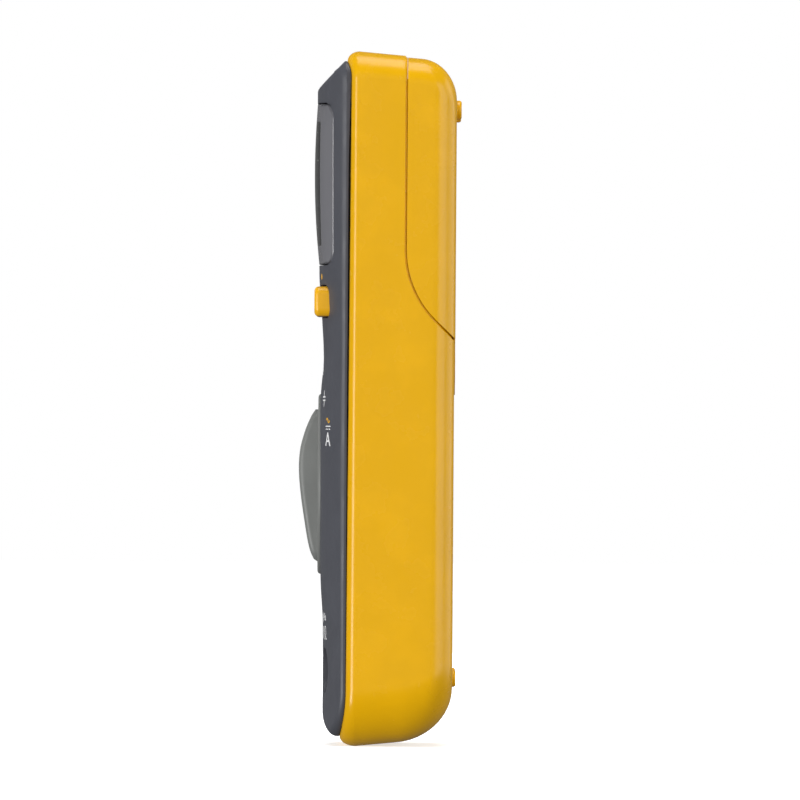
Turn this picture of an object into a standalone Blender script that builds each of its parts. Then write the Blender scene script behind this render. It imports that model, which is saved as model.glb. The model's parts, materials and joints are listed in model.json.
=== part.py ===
"""Pocket digital multimeter, built piece by piece.

The meter stands upright: +Z runs up to the display end, the front faces -Y and the user's right is +X.
Every length below is in millimetres. A point is written (x, d, z), where d is the depth behind the line
on which the front case meets the rear case; to_metres() turns it into Blender's metres.
"""
import math

import bmesh
import bpy
from mathutils import Matrix, Vector

MM = 0.001
FLAT = 1e-7                # metres by which a face may be out of flat before it is split

# ---- Whole meter -----------------------------------------------------------------------------------
LENGTH = 142.0
WIDTH = 69.0
CASE_BACK = 21.75          # parting line to the flat back
GRIP_CREST = 10.0          # parting line to the top of the selector's grip
FOOT_TIP = 22.95           # parting line to the tips of the upper feet
Y_SHIFT = (GRIP_CREST - FOOT_TIP) / 2.0   # centres the meter's depth on y = 0
GAP = 0.3                  # clearance between touching pieces

# ---- Rear case -------------------------------------------------------------------------------------
EDGE_INSET = 2.0           # how far the rounded front edge turns in
EDGE_DEPTH = 2.0           # depth at which the case is largest
TOP_DRAFT = math.radians(5.0)
BOTTOM_DRAFT = math.radians(5.5)
SIDE_DRAFT = math.radians(1.5)
CORNER_LOW = 11.5
CORNER_HIGH = 5.5
LOW_ROUND = (11.0, 10.0)   # depth and reach of the round between bottom and back
HIGH_ROUND = (7.0, 8.0)
SIDE_ROUND = (5.0, 5.0)
LIP_LOW = 1.2              # how far the parting line comes forward at the bottom end
LIP_HIGH = 0.45
WALL = 2.0
CAVITY_INSET = 2.9
CORNER_STEPS = 7

# ---- Battery door ----------------------------------------------------------------------------------
SEAM_D = 11.9              # depth of the straight seam on the sides
SEAM_BEND_Z = 101.5
SEAM_RADIUS = 20.0
SEAM_TURN = math.radians(46.0)
SEAM_GAP = 0.4
DOOR_BACK = CASE_BACK + 0.2
DOOR_TOP_DROP = 0.3
TONGUE_HALF = 17.0
TONGUE_LOW = 71.9
TONGUE_FLOOR = 20.35       # depth of the tongue's inner face
FASTENER_Z = 77.5

# ---- Feet ------------------------------------------------------------------------------------------
FOOT_X = 22.0
FOOT_HIGH_Z = 130.2
FOOT_LOW_Z = 13.9
FOOT_BASE_R = 1.95
FOOT_TIP_R = 1.5
FOOT_LOW_TIP = CASE_BACK + 0.7

# ---- Front case ------------------------------------------------------------------------------------
FRONT_HALF = WIDTH / 2.0 - EDGE_INSET
FRONT_LOW = EDGE_INSET
FRONT_HIGH = LENGTH - EDGE_INSET
FRONT_WALL = 1.8
SIDE_RISE = 1.0            # height of the crown at the long edges
# Height of the crown along the middle of the front: (z, height)
CROWN = [(0, 4.87), (25, 4.88), (34, 5.38), (54, 5.6), (72, 5.53), (79, 4.98), (86, 5.3), (96, 5.97),
         (131, 6.55), (142, 6.5)]
# How sharply the crown turns down towards the long edges: (z, power of the falling curve)
CROWN_POWER = [(15.4, 3.8), (53.5, 6.0)]
TONGUE_RING = (30.0, 28.3)   # half widths of the skirt that enters the rear case
SKIRT_CORNERS = ((7.9, 2.9), (6.2, 1.3))   # its lower and upper corner radii, outside and inside
SKIRT_DEPTH = 2.4
SEAL_WIDE = 1.0
SEAL_CORNERS = ((9.2, 4.2), (8.2, 3.2))
SEAL_DEPTHS = (0.5, 1.6)

# ---- Display ---------------------------------------------------------------------------------------
LENS_HALF = 29.5
LENS_LOW = 98.6
LENS_HIGH = 131.2
LENS_CORNER = 3.0
LENS_BULGE = 0.73
LENS_THICK = 1.6
WINDOW_HALF = 24.0
WINDOW_LOW = 101.5
WINDOW_HIGH = 128.5
PANEL_HALF = 25.2
PANEL_LOW = 99.5
PANEL_HIGH = 130.5
PANEL_FRAME_HALF = 27.0
PANEL_FRAME_Z = (97.5, 132.5)
LIGHT_GUIDE_Z = (102.8, 127.2)
ZEBRA_HALF = 23.5
ZEBRA_TALL = 2.2
ZEBRA_LOW = {"zebra_strip_lower": 99.9, "zebra_strip_upper": 127.9}

# ---- Buttons ---------------------------------------------------------------------------------------
BUTTON_X = {"button_hold": -22.4, "button_range": -7.5, "button_light": 7.5, "button_function": 22.4}
BUTTON_Z = 90.9
BUTTON_WIDE = 9.8
BUTTON_TALL = 6.1
BUTTON_FRONT = -6.93
BUTTON_FLANGE = (-1.5, -0.7)
BUTTON_CORNER = 1.6
BUTTON_EDGE = 0.9          # radius of the round at the front
FLANGE_REACH = 0.7         # how far a key's flange stands out behind the front case

# ---- Selector --------------------------------------------------------------------------------------
KNOB_Z = 53.5
KNOB_R = 18.5
KNOB_FRONT = -6.05
KNOB_REAR = -2.2
HUB_R = 4.8
SHAFT_R = 3.7
RECESS_R = KNOB_R + 0.4
RECESS_FLOOR = -1.9
CUP_R = RECESS_R + 1.8
GRIP_HALF = 4.3
# Height of the grip's crest along its length: (distance above the axis, height)
GRIP_LINE = [(-16.0, 5.95), (-15.4, 6.8), (-12.9, 7.8), (-7.3, 8.82), (-1.2, 9.68), (3.6, 10.0),
             (7.2, 9.73), (9.4, 9.22), (11.7, 8.48), (14.0, 7.46), (15.3, 6.65)]
ROTOR_R = 12.5
DETENT_STEPS = 20          # a full turn of 18 degree clicks

# ---- Input jacks -----------------------------------------------------------------------------------
JACK_X = (-19.0, 0.0, 19.0)
JACK_Z = 15.4
WELL_R = 4.7
TUBE_R = 6.1
WELL_FLOOR = 16.0
TUBE_END = 17.5
CONTACT_FRONT = 0.4
CONTACT_R = 3.0
CONTACT_BORE = 2.1
CONTACT_END = 18.2

# ---- Boards and what is on them --------------------------------------------------------------------
BOARD_FRONT = 4.0
BOARD_BACK = 5.6
BOARD_HALF = 29.0
BOARD_LOW = 25.5
BOARD_HIGH = 135.5
SCREW_X = 26.0
SCREW_Z = (31.0, 76.5)
POST_R = 4.6
BOSS_R = 3.0
BOSS_END = 10.2
POST_END = 10.7
HEAD_SEAT = 15.0

# ---- Battery bay -----------------------------------------------------------------------------------
CELL_R = 5.2
CELL_LONG = 44.5
CELL_X = 5.75
CELL_D = 13.9
CELL_SHIFT = 1.15          # each cell sits this far towards its plate, away from its spring
BAY_HALF = 12.0
BAY_LOW = 86.4
BAY_HIGH = 135.0
BAY_FLOOR = 8.3
BAY_RIM = 17.5

YELLOW = (0.74, 0.40, 0.003)
GREY = (0.09, 0.10, 0.115)


# ---- Small maths -----------------------------------------------------------------------------------
def smooth_through(points, t):
    """Value at t of a smooth curve through (position, value) points."""
    last = len(points) - 1
    t = min(max(t, points[0][0]), points[last][0])
    i = next(k for k in range(last) if t <= points[k + 1][0])
    (t0, v0), (t1, v1) = points[i], points[i + 1]

    def slope(k):
        if k in (0, last):
            k0, k1 = (0, 1) if k == 0 else (last - 1, last)
        else:
            k0, k1 = k - 1, k + 1
        return (points[k1][1] - points[k0][1]) / (points[k1][0] - points[k0][0])

    span = t1 - t0
    u = (t - t0) / span
    start = (1 + 2 * u) * (1 - u) ** 2 * v0 + u * (1 - u) ** 2 * span * slope(i)
    end = u * u * (3 - 2 * u) * v1 + u * u * (u - 1) * span * slope(i + 1)
    return start + end


def smooth_min(a, b, soft):
    """The smaller of two heights, with the crease between them rounded."""
    h = max(soft - abs(a - b), 0.0) / soft
    return min(a, b) - h * h * soft / 4.0


def arc_inset(d, back, depth, reach):
    """How far an elliptical round has come in at depth d; it ends at back."""
    t = min(max((d - back + depth) / depth, 0.0), 1.0)
    return reach * (1.0 - math.sqrt(1.0 - t * t))


def to_metres(x, d, z):
    return Vector((x * MM, (d + Y_SHIFT) * MM, z * MM))


# ---- Meshes ----------------------------------------------------------------------------------------
def rounded_outline(half, low, high, r_low, r_high, steps=CORNER_STEPS):
    """Outline of a face with round corners, as (x, z, outward x, outward z), from the bottom middle."""
    right = [(0.0, low, 0.0, -1.0)]
    for centre_z, radius, first in ((low + r_low, r_low, -90.0), (high - r_high, r_high, 0.0)):
        for i in range(steps + 1):
            a = math.radians(first + 90.0 * i / steps)
            c, s = math.cos(a), math.sin(a)
            right.append((half - radius + radius * c, centre_z + radius * s, c, s))
    right.append((0.0, high, 0.0, 1.0))
    left = [(-x, z, -nx, nz) for x, z, nx, nz in reversed(right[1:-1])]
    return right + left


def flat_ring(outline, d):
    return [(p[0], d, p[1]) for p in outline]


def circle(x, z, radius, d, sides):
    turn = 2.0 * math.pi / sides
    return [(x + radius * math.cos(i * turn), d, z + radius * math.sin(i * turn)) for i in range(sides)]


def loft(bm, rings, closed=False):
    """Joins rings of points with quads; an open loft gets a face on each end."""
    made = [[bm.verts.new(p) for p in ring] for ring in rings]
    pairs = list(zip(made, made[1:]))
    if closed:
        pairs.append((made[-1], made[0]))
    else:
        bm.faces.new(made[0])
        bm.faces.new(made[-1])
    count = len(made[0])
    for a, b in pairs:
        for i in range(count):
            j = (i + 1) % count
            bm.faces.new((a[i], a[j], b[j], b[i]))


def add_box(bm, x0, x1, d0, d1, z0, z1):
    corners = [(x0, z0), (x1, z0), (x1, z1), (x0, z1)]
    loft(bm, [[(x, d, z) for x, z in corners] for d in (d0, d1)])


def add_turned(bm, x, z, profile, sides=24, closed=False):
    """A piece turned about a line along the depth axis; profile is (radius, depth)."""
    loft(bm, [circle(x, z, radius, d, sides) for radius, d in profile], closed)


def add_plate(bm, outline, d0, d1):
    loft(bm, [flat_ring(outline, d0), flat_ring(outline, d1)])


def add_frame(bm, outer, inner, d0, d1):
    rings = [flat_ring(outer, d0), flat_ring(outer, d1), flat_ring(inner, d1), flat_ring(inner, d0)]
    loft(bm, rings, closed=True)


def add_surface_solid(bm, half_at, rows, columns, front, back):
    """A solid between two height functions over the same grid of (x, z) points."""
    def layer(height):
        return [[bm.verts.new((s * half_at(z), height(s * half_at(z), z), z)) for s in columns]
                for z in rows]

    near, far = layer(front), layer(back)
    last_row, last_column = len(rows) - 1, len(columns) - 1
    for grid in (near, far):
        for r in range(last_row):
            for c in range(last_column):
                bm.faces.new((grid[r][c], grid[r][c + 1], grid[r + 1][c + 1], grid[r + 1][c]))
    for r in range(last_row):
        for c in (0, last_column):
            bm.faces.new((near[r][c], near[r + 1][c], far[r + 1][c], far[r][c]))
    for c in range(last_column):
        for r in (0, last_row):
            bm.faces.new((near[r][c], near[r][c + 1], far[r][c + 1], far[r][c]))


def material(name, colour, rough, metallic=0.0):
    made = bpy.data.materials.new(name)
    made.use_nodes = True
    shader = made.node_tree.nodes["Principled BSDF"]
    shader.inputs["Base Color"].default_value = (*colour, 1.0)
    shader.inputs["Roughness"].default_value = rough
    shader.inputs["Metallic"].default_value = metallic
    return made


def place(name, bm, origin=(0.0, 0.0, 0.0)):
    """Makes an object of a mesh built in (x, d, z), with its own origin at a point of the meter."""
    bmesh.ops.recalc_face_normals(bm, faces=bm.faces)
    at = to_metres(*origin)
    for v in bm.verts:
        v.co = to_metres(*v.co) - at
    if bm.calc_volume(signed=True) < 0.0:
        bmesh.ops.reverse_faces(bm, faces=bm.faces)
    bm.normal_update()
    warped = [f for f in bm.faces if any(abs((v.co - f.verts[0].co).dot(f.normal)) > FLAT for v in f.verts)]
    bmesh.ops.triangulate(bm, faces=warped)
    mesh = bpy.data.meshes.new(name)
    bm.to_mesh(mesh)
    bm.free()
    obj = bpy.data.objects.new(name, mesh)
    obj.location = at
    bpy.context.scene.collection.objects.link(obj)
    bpy.context.view_layer.update()
    return obj


def piece(name, bm, colour, rough=0.5, metallic=0.0, origin=(0.0, 0.0, 0.0)):
    obj = place(name, bm, origin)
    obj.data.materials.append(material(name, colour, rough, metallic))
    obj.data.shade_smooth()
    obj.data.set_sharp_from_angle(angle=math.radians(32.0))
    return obj


def cutter(name, bm):
    obj = place(name, bm)
    obj.hide_render = True
    obj.display_type = "WIRE"
    return obj


def combine(target, tool, operation="DIFFERENCE", solver="EXACT"):
    step = target.modifiers.new(tool.name, "BOOLEAN")
    step.operation = operation
    step.solver = solver
    step.object = tool


# ---- Rear case and battery door --------------------------------------------------------------------
def shell_outline(d, wall=0.0, back=CASE_BACK, top_drop=0.0):
    """Outline of the yellow shell at depth d, or of a surface one wall inside it."""
    deep = max(d - EDGE_DEPTH, 0.0)
    end = back - wall
    side = arc_inset(d, end, SIDE_ROUND[0] - wall / 2, SIDE_ROUND[1] - wall / 2) + wall
    low = arc_inset(d, end, LOW_ROUND[0] - wall / 2, LOW_ROUND[1] - wall / 2) + wall
    high = arc_inset(d, end, HIGH_ROUND[0] - wall / 2, HIGH_ROUND[1] - wall / 2) + wall + top_drop
    half = WIDTH / 2.0 - math.tan(SIDE_DRAFT) * deep - side
    bottom = math.tan(BOTTOM_DRAFT) * deep + low
    top = LENGTH - math.tan(TOP_DRAFT) * deep - high
    if wall:
        half = min(half, WIDTH / 2.0 - CAVITY_INSET)
        bottom = max(bottom, CAVITY_INSET)
        top = min(top, LENGTH - CAVITY_INSET)
    return rounded_outline(half, bottom, top, CORNER_LOW - side, CORNER_HIGH - side / 2)


def round_depths(back, first, steps=9):
    """Depths at which the back round is sampled, closer together towards the back."""
    return [back - LOW_ROUND[0] * (1.0 - math.sin(math.radians(a * 90.0 / steps)))
            for a in range(first, steps + 1)]


def edge_rings():
    """The rounded front edge, from inside the parting line out to the widest outline."""
    rings = []
    for inset, turn in [(EDGE_INSET + 2.5, 0.0)] + [(None, a) for a in (0, 22.5, 45, 67.5)]:
        a = math.radians(turn)
        come_in = EDGE_INSET * (1.0 - math.sin(a)) if inset is None else inset
        outline = rounded_outline(WIDTH / 2 - come_in, come_in, LENGTH - come_in,
                                  CORNER_LOW - come_in, CORNER_HIGH - min(come_in, 4.0))
        ring = []
        for x, z, nx, nz in outline:
            front = parting_line(nz)
            ring.append((x, front + (EDGE_DEPTH - front) * (1.0 - math.cos(a)), z))
        rings.append(ring)
    return rings


def parting_line(nz):
    """Depth of the parting line where the outline faces nz: it comes forward at both ends."""
    return -(LIP_LOW if nz < 0 else LIP_HIGH) * nz * nz


def shell_body(bm, back=CASE_BACK, top_drop=0.0):
    rings = edge_rings()
    for d in [EDGE_DEPTH] + round_depths(back, 0):
        rings.append(flat_ring(shell_outline(d, 0.0, back, top_drop), d))
    loft(bm, rings)


def shell_cavity(bm, start, back=CASE_BACK, top_drop=0.0):
    depths = [start] + [d - WALL for d in round_depths(back, 0)]
    loft(bm, [flat_ring(shell_outline(d, WALL, back, top_drop), d) for d in depths])


def door_prism(bm, offset):
    """The space behind the door's seam, its edge moved outward by offset, right across the meter."""
    centre_d = SEAM_D + SEAM_RADIUS
    radius = SEAM_RADIUS + offset
    profile = [(40.0, LENGTH + 9.0), (SEAM_D - offset, LENGTH + 9.0)]
    steps = 8
    for i in range(steps + 1):
        a = SEAM_TURN * i / steps
        profile.append((centre_d - radius * math.cos(a), SEAM_BEND_Z - radius * math.sin(a)))
    d, z = profile[-1]
    run = 40.0 - d
    profile.append((40.0, z - run / math.tan(SEAM_TURN)))
    loft(bm, [[(x, d, z) for d, z in profile] for x in (-45.0, 45.0)])


def tongue_plate(bm, grow, floor):
    outline = rounded_outline(TONGUE_HALF + grow, TONGUE_LOW - grow, 95.0, 8.0 + grow, 2.0)
    add_plate(bm, outline, floor, 40.0)


def add_foot(bm, x, z, tip):
    add_turned(bm, x, z, [(FOOT_BASE_R, tip - 1.9), (FOOT_BASE_R, tip - 0.95), (FOOT_TIP_R + 0.2, tip - 0.12),
                          (FOOT_TIP_R, tip)], sides=16)


def make_rear_case():
    bm = bmesh.new()
    shell_body(bm)
    case = piece("rear_case", bm, YELLOW, 0.45)

    bm = bmesh.new()
    shell_cavity(bm, -5.0)
    cavity = cutter("cut_rear_cavity", bm)
    bm = bmesh.new()
    door_prism(bm, SEAM_GAP + WALL)
    combine(cavity, cutter("keep_door_wall", bm))
    bm = bmesh.new()
    add_box(bm, -BAY_HALF - 2.0, BAY_HALF + 2.0, BAY_FLOOR - 1.5, 40.0, BAY_LOW - 1.7, BAY_HIGH + 1.8)
    combine(cavity, cutter("keep_bay", bm))
    bm = bmesh.new()
    tongue_plate(bm, 2.0, TONGUE_FLOOR - 2.6)
    combine(cavity, cutter("keep_tongue_wall", bm))
    bm = bmesh.new()
    for x in (-SCREW_X, SCREW_X):
        for z in SCREW_Z:
            add_turned(bm, x, z, [(POST_R, POST_END), (POST_R, 40.0)], sides=20)
    combine(cavity, cutter("keep_posts", bm))

    bm = bmesh.new()
    door_prism(bm, SEAM_GAP)
    combine(case, cutter("cut_door_opening", bm))
    bm = bmesh.new()
    tongue_plate(bm, SEAM_GAP, TONGUE_FLOOR - 0.35)
    combine(case, cutter("cut_tongue_recess", bm))
    combine(case, cavity)

    bm = bmesh.new()
    add_box(bm, -BAY_HALF - 1.8, BAY_HALF + 1.8, BAY_FLOOR - 1.1, BAY_RIM, BAY_LOW - 1.5, BAY_HIGH + 1.6)
    combine(case, cutter("add_bay_walls", bm), "UNION")
    bm = bmesh.new()
    add_box(bm, -BAY_HALF, BAY_HALF, BAY_FLOOR, 40.0, BAY_LOW, BAY_HIGH)
    combine(case, cutter("cut_bay", bm))
    bm = bmesh.new()
    for x in (-SCREW_X, SCREW_X):
        for z in SCREW_Z:
            add_turned(bm, x, z, [(1.75, 2.0), (1.75, HEAD_SEAT), (3.2, HEAD_SEAT), (3.2, 40.0)], sides=16)
    add_turned(bm, 0.0, FASTENER_Z, [(2.1, 10.0), (2.1, 40.0)], sides=16)
    combine(case, cutter("cut_screw_bores", bm))
    bm = bmesh.new()
    for x in (-FOOT_X, FOOT_X):
        add_foot(bm, x, FOOT_LOW_Z, FOOT_LOW_TIP)
    combine(case, cutter("add_lower_feet", bm), "UNION")


def make_battery_door():
    bm = bmesh.new()
    shell_body(bm, DOOR_BACK, DOOR_TOP_DROP)
    door = piece("battery_door", bm, YELLOW, 0.45)
    bm = bmesh.new()
    door_prism(bm, 0.0)
    region = cutter("door_region", bm)
    bm = bmesh.new()
    tongue_plate(bm, 0.0, TONGUE_FLOOR)
    combine(region, cutter("add_tongue", bm), "UNION")
    combine(door, region, "INTERSECT")
    bm = bmesh.new()
    shell_cavity(bm, 3.0, DOOR_BACK, DOOR_TOP_DROP)
    hollow = cutter("cut_door_hollow", bm)
    bm = bmesh.new()
    tongue_plate(bm, 5.0, TONGUE_FLOOR - 1.1)
    lower = cutter("keep_tongue", bm)
    combine(hollow, lower)
    combine(door, hollow)
    bm = bmesh.new()
    add_turned(bm, 0.0, FASTENER_Z, [(2.1, 10.0), (2.1, 21.0), (3.9, 21.0), (3.9, 40.0)], sides=20)
    combine(door, cutter("cut_fastener_hole", bm))
    bm = bmesh.new()
    for x in (-FOOT_X, FOOT_X):
        add_foot(bm, x, FOOT_HIGH_Z, FOOT_TIP)
    combine(door, cutter("add_upper_feet", bm), "UNION")


def make_door_fastener():
    bm = bmesh.new()
    add_turned(bm, 0.0, FASTENER_Z, [(1.7, 18.4), (1.7, 21.3), (3.5, 21.3), (3.5, 21.75), (3.2, 22.0)],
               sides=20)
    fastener = piece("door_fastener", bm, (0.5, 0.5, 0.52), 0.35, 1.0, (0.0, 22.0, FASTENER_Z))
    bm = bmesh.new()
    add_box(bm, -5.0, 5.0, 21.55, 24.0, FASTENER_Z - 0.5, FASTENER_Z + 0.5)
    combine(fastener, cutter("cut_fastener_slot", bm))


# ---- Front case ------------------------------------------------------------------------------------
FRONT_CORNER_LOW = CORNER_LOW - EDGE_INSET
FRONT_CORNER_HIGH = CORNER_HIGH - EDGE_INSET


def front_half_at(z):
    """Half width of the front case at height z."""
    low = FRONT_CORNER_LOW - (z - FRONT_LOW)
    high = FRONT_CORNER_HIGH - (FRONT_HIGH - z)
    if low > 0.0:
        return FRONT_HALF - FRONT_CORNER_LOW + math.sqrt(max(FRONT_CORNER_LOW ** 2 - low ** 2, 0.0))
    if high > 0.0:
        return FRONT_HALF - FRONT_CORNER_HIGH + math.sqrt(max(FRONT_CORNER_HIGH ** 2 - high ** 2, 0.0))
    return FRONT_HALF


def edge_at(x, z):
    """Distance inside the front case's outline, and the way out to it as (outward x, outward z)."""
    lower = z < LENGTH / 2.0
    radius = FRONT_CORNER_LOW if lower else FRONT_CORNER_HIGH
    qx = abs(x) - (FRONT_HALF - radius)
    qz = FRONT_LOW + radius - z if lower else z - FRONT_HIGH + radius
    sign = -1.0 if lower else 1.0
    if qx > 0.0 and qz > 0.0:
        far = math.hypot(qx, qz)
        return radius - far, qx / far, sign * qz / far
    if qx > qz:
        return radius - qx, 1.0, 0.0
    return radius - qz, 0.0, sign


def crown(x, z):
    """Height of the front above the parting line, without its edges."""
    middle = smooth_through(CROWN, z)
    power = smooth_through(CROWN_POWER, z)
    return middle - (middle - SIDE_RISE) * (abs(x) / FRONT_HALF) ** power


def front_surface(x, z):
    inside, nx, nz = edge_at(x, z)
    inside = max(inside, 0.0)
    side = 0.55 + 2.2 * inside
    if nz < 0.0:
        end = 1.75 + 3.3 * math.sqrt(1.0 - (1.0 - min(inside / 6.4, 1.0)) ** 2)
    else:
        end = 0.98 + 0.97 * inside
    rim = side * nx * nx + end * nz * nz
    return -smooth_min(crown(x, z), rim, 0.35)


def front_underside(x, z):
    """Rear face of the front case: it follows the parting line at the edge and is flat further in."""
    inside, _, nz = edge_at(x, z)
    near_edge = min(max(1.0 - (inside - 1.5) / 2.0, 0.0), 1.0)
    return parting_line(nz) * near_edge - GAP


def make_front_case():
    columns = [-1.0, -0.96, -0.91, -0.84, -0.75, -0.62, -0.45, -0.22]
    columns += [0.0] + [-s for s in reversed(columns)]
    rows = [FRONT_LOW + FRONT_CORNER_LOW * (1.0 - math.cos(math.radians(a * 90.0 / 7))) for a in range(8)]
    first, last = rows[-1], FRONT_HIGH - 6.2
    rows += [first + (last - first) * i / 19 for i in range(1, 20)]
    rows += [FRONT_HIGH - r for r in (4.8, FRONT_CORNER_HIGH, 2.2, 1.1, 0.4, 0.0)]
    bm = bmesh.new()
    add_surface_solid(bm, front_half_at, rows, columns, front_surface, front_underside)
    case = piece("front_case", bm, GREY, 0.55)
    combine(case, front_cavity())

    outer, inner = TONGUE_RING
    bm = bmesh.new()
    inset_out, inset_in = WIDTH / 2.0 - outer, WIDTH / 2.0 - inner
    add_frame(bm, rounded_outline(outer, inset_out, LENGTH - inset_out, *SKIRT_CORNERS[0]),
              rounded_outline(inner, inset_in, LENGTH - inset_in, *SKIRT_CORNERS[1]), -1.1, SKIRT_DEPTH)
    combine(case, cutter("add_skirt", bm), "UNION")
    bm = bmesh.new()
    for x in (-SCREW_X, SCREW_X):
        for z in SCREW_Z:
            add_turned(bm, x, z, [(BOSS_R, -1.3), (BOSS_R, BOSS_END)], sides=12)
    combine(case, cutter("add_bosses", bm), "UNION")

    combine(case, lens_pocket())
    bm = bmesh.new()
    add_plate(bm, rounded_outline(WINDOW_HALF, WINDOW_LOW, WINDOW_HIGH, 1.5, 1.5, 3), -15.0, 3.0)
    for x in BUTTON_X.values():
        add_plate(bm, button_outline(x, GAP), -15.0, 3.0)
    add_turned(bm, 0.0, KNOB_Z, [(HUB_R + 0.4, 3.0), (HUB_R + 0.4, RECESS_FLOOR), (RECESS_R, RECESS_FLOOR),
                                 (RECESS_R, -15.0)], sides=40)
    for x in JACK_X:
        add_turned(bm, x, JACK_Z, [(WELL_R, 3.0), (WELL_R, -15.0)], sides=22)
    for x in (-SCREW_X, SCREW_X):
        for z in SCREW_Z:
            add_turned(bm, x, z, [(1.6, 0.5), (1.6, 20.0)], sides=12)
    combine(case, cutter("cut_front_openings", bm))


def front_cavity():
    """The hollow under the front, less what must stay solid around the openings."""
    half = TONGUE_RING[1] + 0.3
    low, high = WIDTH / 2.0 - half, LENGTH - WIDTH / 2.0 + half
    columns = [-1.0, -0.75, -0.5, -0.25, 0.0, 0.25, 0.5, 0.75, 1.0]
    corner = 5.3
    turns = [corner * (1.0 - math.cos(math.radians(a))) for a in (0.0, 30.0, 60.0, 90.0)]
    first, last = low + corner, high - corner
    middle = [first + (last - first) * i / 14 for i in range(1, 14)]
    rows = [low + t for t in turns] + middle + [high - t for t in reversed(turns)]

    def half_at(z):
        short = corner - min(z - low, high - z)
        return half if short <= 0.0 else half - corner + math.sqrt(max(corner ** 2 - short ** 2, 0.0))

    bm = bmesh.new()
    add_surface_solid(bm, half_at, rows, columns,
                      lambda x, z: min(front_surface(x, z) + FRONT_WALL, -0.8), lambda x, z: 4.0)
    cavity = cutter("cut_front_cavity", bm)
    bm = bmesh.new()
    add_box(bm, -LENS_HALF - 2.3, LENS_HALF + 2.3, -15.0, 1.0, LENS_LOW - 2.0, LENS_HIGH + 2.0)
    add_turned(bm, 0.0, KNOB_Z, [(CUP_R, -15.0), (CUP_R, 1.0)], sides=36)
    for x in JACK_X:
        add_turned(bm, x, JACK_Z, [(TUBE_R + 0.2, -15.0), (TUBE_R + 0.2, 1.0)], sides=18)
    for x in (-SCREW_X, SCREW_X):
        for z in SCREW_Z:
            add_turned(bm, x, z, [(BOSS_R + 0.2, -15.0), (BOSS_R + 0.2, 1.0)], sides=12)
    combine(cavity, cutter("keep_front_solid", bm))
    return cavity


def lens_half_at(z, grow):
    corner = LENS_CORNER + grow
    short = corner - min(z - LENS_LOW + grow, LENS_HIGH + grow - z)
    full = LENS_HALF + grow
    return full if short <= 0.0 else full - corner + math.sqrt(max(corner ** 2 - short ** 2, 0.0))


def lens_surface(x, z):
    middle, reach = (LENS_LOW + LENS_HIGH) / 2.0, (LENS_HIGH - LENS_LOW) / 2.0
    across = max(1.0 - (x / LENS_HALF) ** 2, 0.0)
    along = max(1.0 - ((z - middle) / reach) ** 2, 0.0)
    return -(crown(x, z) + LENS_BULGE * across * along)


def lens_grid(grow):
    corner = LENS_CORNER + grow
    turns = [corner * (1.0 - math.cos(math.radians(a))) for a in (0.0, 30.0, 60.0, 90.0)]
    low, high = LENS_LOW - grow, LENS_HIGH + grow
    first, last = low + corner, high - corner
    middle = [first + (last - first) * i / 6 for i in range(1, 6)]
    rows = [low + t for t in turns] + middle + [high - t for t in reversed(turns)]
    columns = [math.sin(math.radians(a)) for a in range(-90, 91, 20)]
    return rows, columns


def lens_pocket():
    rows, columns = lens_grid(GAP)
    bm = bmesh.new()
    add_surface_solid(bm, lambda z: lens_half_at(z, GAP), rows, columns, lambda x, z: -15.0,
                      lambda x, z: lens_surface(x, z) + LENS_THICK + GAP)
    return cutter("cut_lens_pocket", bm)


def make_display():
    rows, columns = lens_grid(0.0)
    bm = bmesh.new()
    add_surface_solid(bm, lambda z: lens_half_at(z, 0.0), rows, columns, lens_surface,
                      lambda x, z: lens_surface(x, z) + LENS_THICK)
    piece("display_lens", bm, (0.16, 0.16, 0.18), 0.12)
    bm = bmesh.new()
    add_plate(bm, rounded_outline(PANEL_HALF, PANEL_LOW, PANEL_HIGH, 0.5, 0.5, 2), 0.0, 1.5)
    piece("lcd_panel", bm, (0.34, 0.38, 0.32), 0.2)
    bm = bmesh.new()
    add_frame(bm, rounded_outline(PANEL_FRAME_HALF, *PANEL_FRAME_Z, 1.5, 1.5, 3),
              rounded_outline(PANEL_HALF + GAP, PANEL_LOW - GAP, PANEL_HIGH + GAP, 0.8, 0.8, 3), 0.0, 3.7)
    piece("lcd_frame", bm, (0.8, 0.8, 0.78), 0.5)
    bm = bmesh.new()
    add_plate(bm, rounded_outline(PANEL_HALF, *LIGHT_GUIDE_Z, 0.5, 0.5, 2), 1.8, 3.7)
    piece("backlight_guide", bm, (0.9, 0.9, 0.88), 0.3)
    for name, low in ZEBRA_LOW.items():
        bm = bmesh.new()
        add_plate(bm, rounded_outline(ZEBRA_HALF, low, low + ZEBRA_TALL, 0.3, 0.3, 1), 1.8, 3.7)
        piece(name, bm, (0.75, 0.35, 0.4), 0.6)


# ---- Buttons ---------------------------------------------------------------------------------------
def button_outline(x, grow, inset=0.0):
    half_x, half_z = BUTTON_WIDE / 2 + grow - inset, BUTTON_TALL / 2 + grow - inset
    outline = rounded_outline(half_x, BUTTON_Z - half_z, BUTTON_Z + half_z,
                              BUTTON_CORNER + grow, BUTTON_CORNER + grow, 3)
    return [(x + px, pz, nx, nz) for px, pz, nx, nz in outline]


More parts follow.
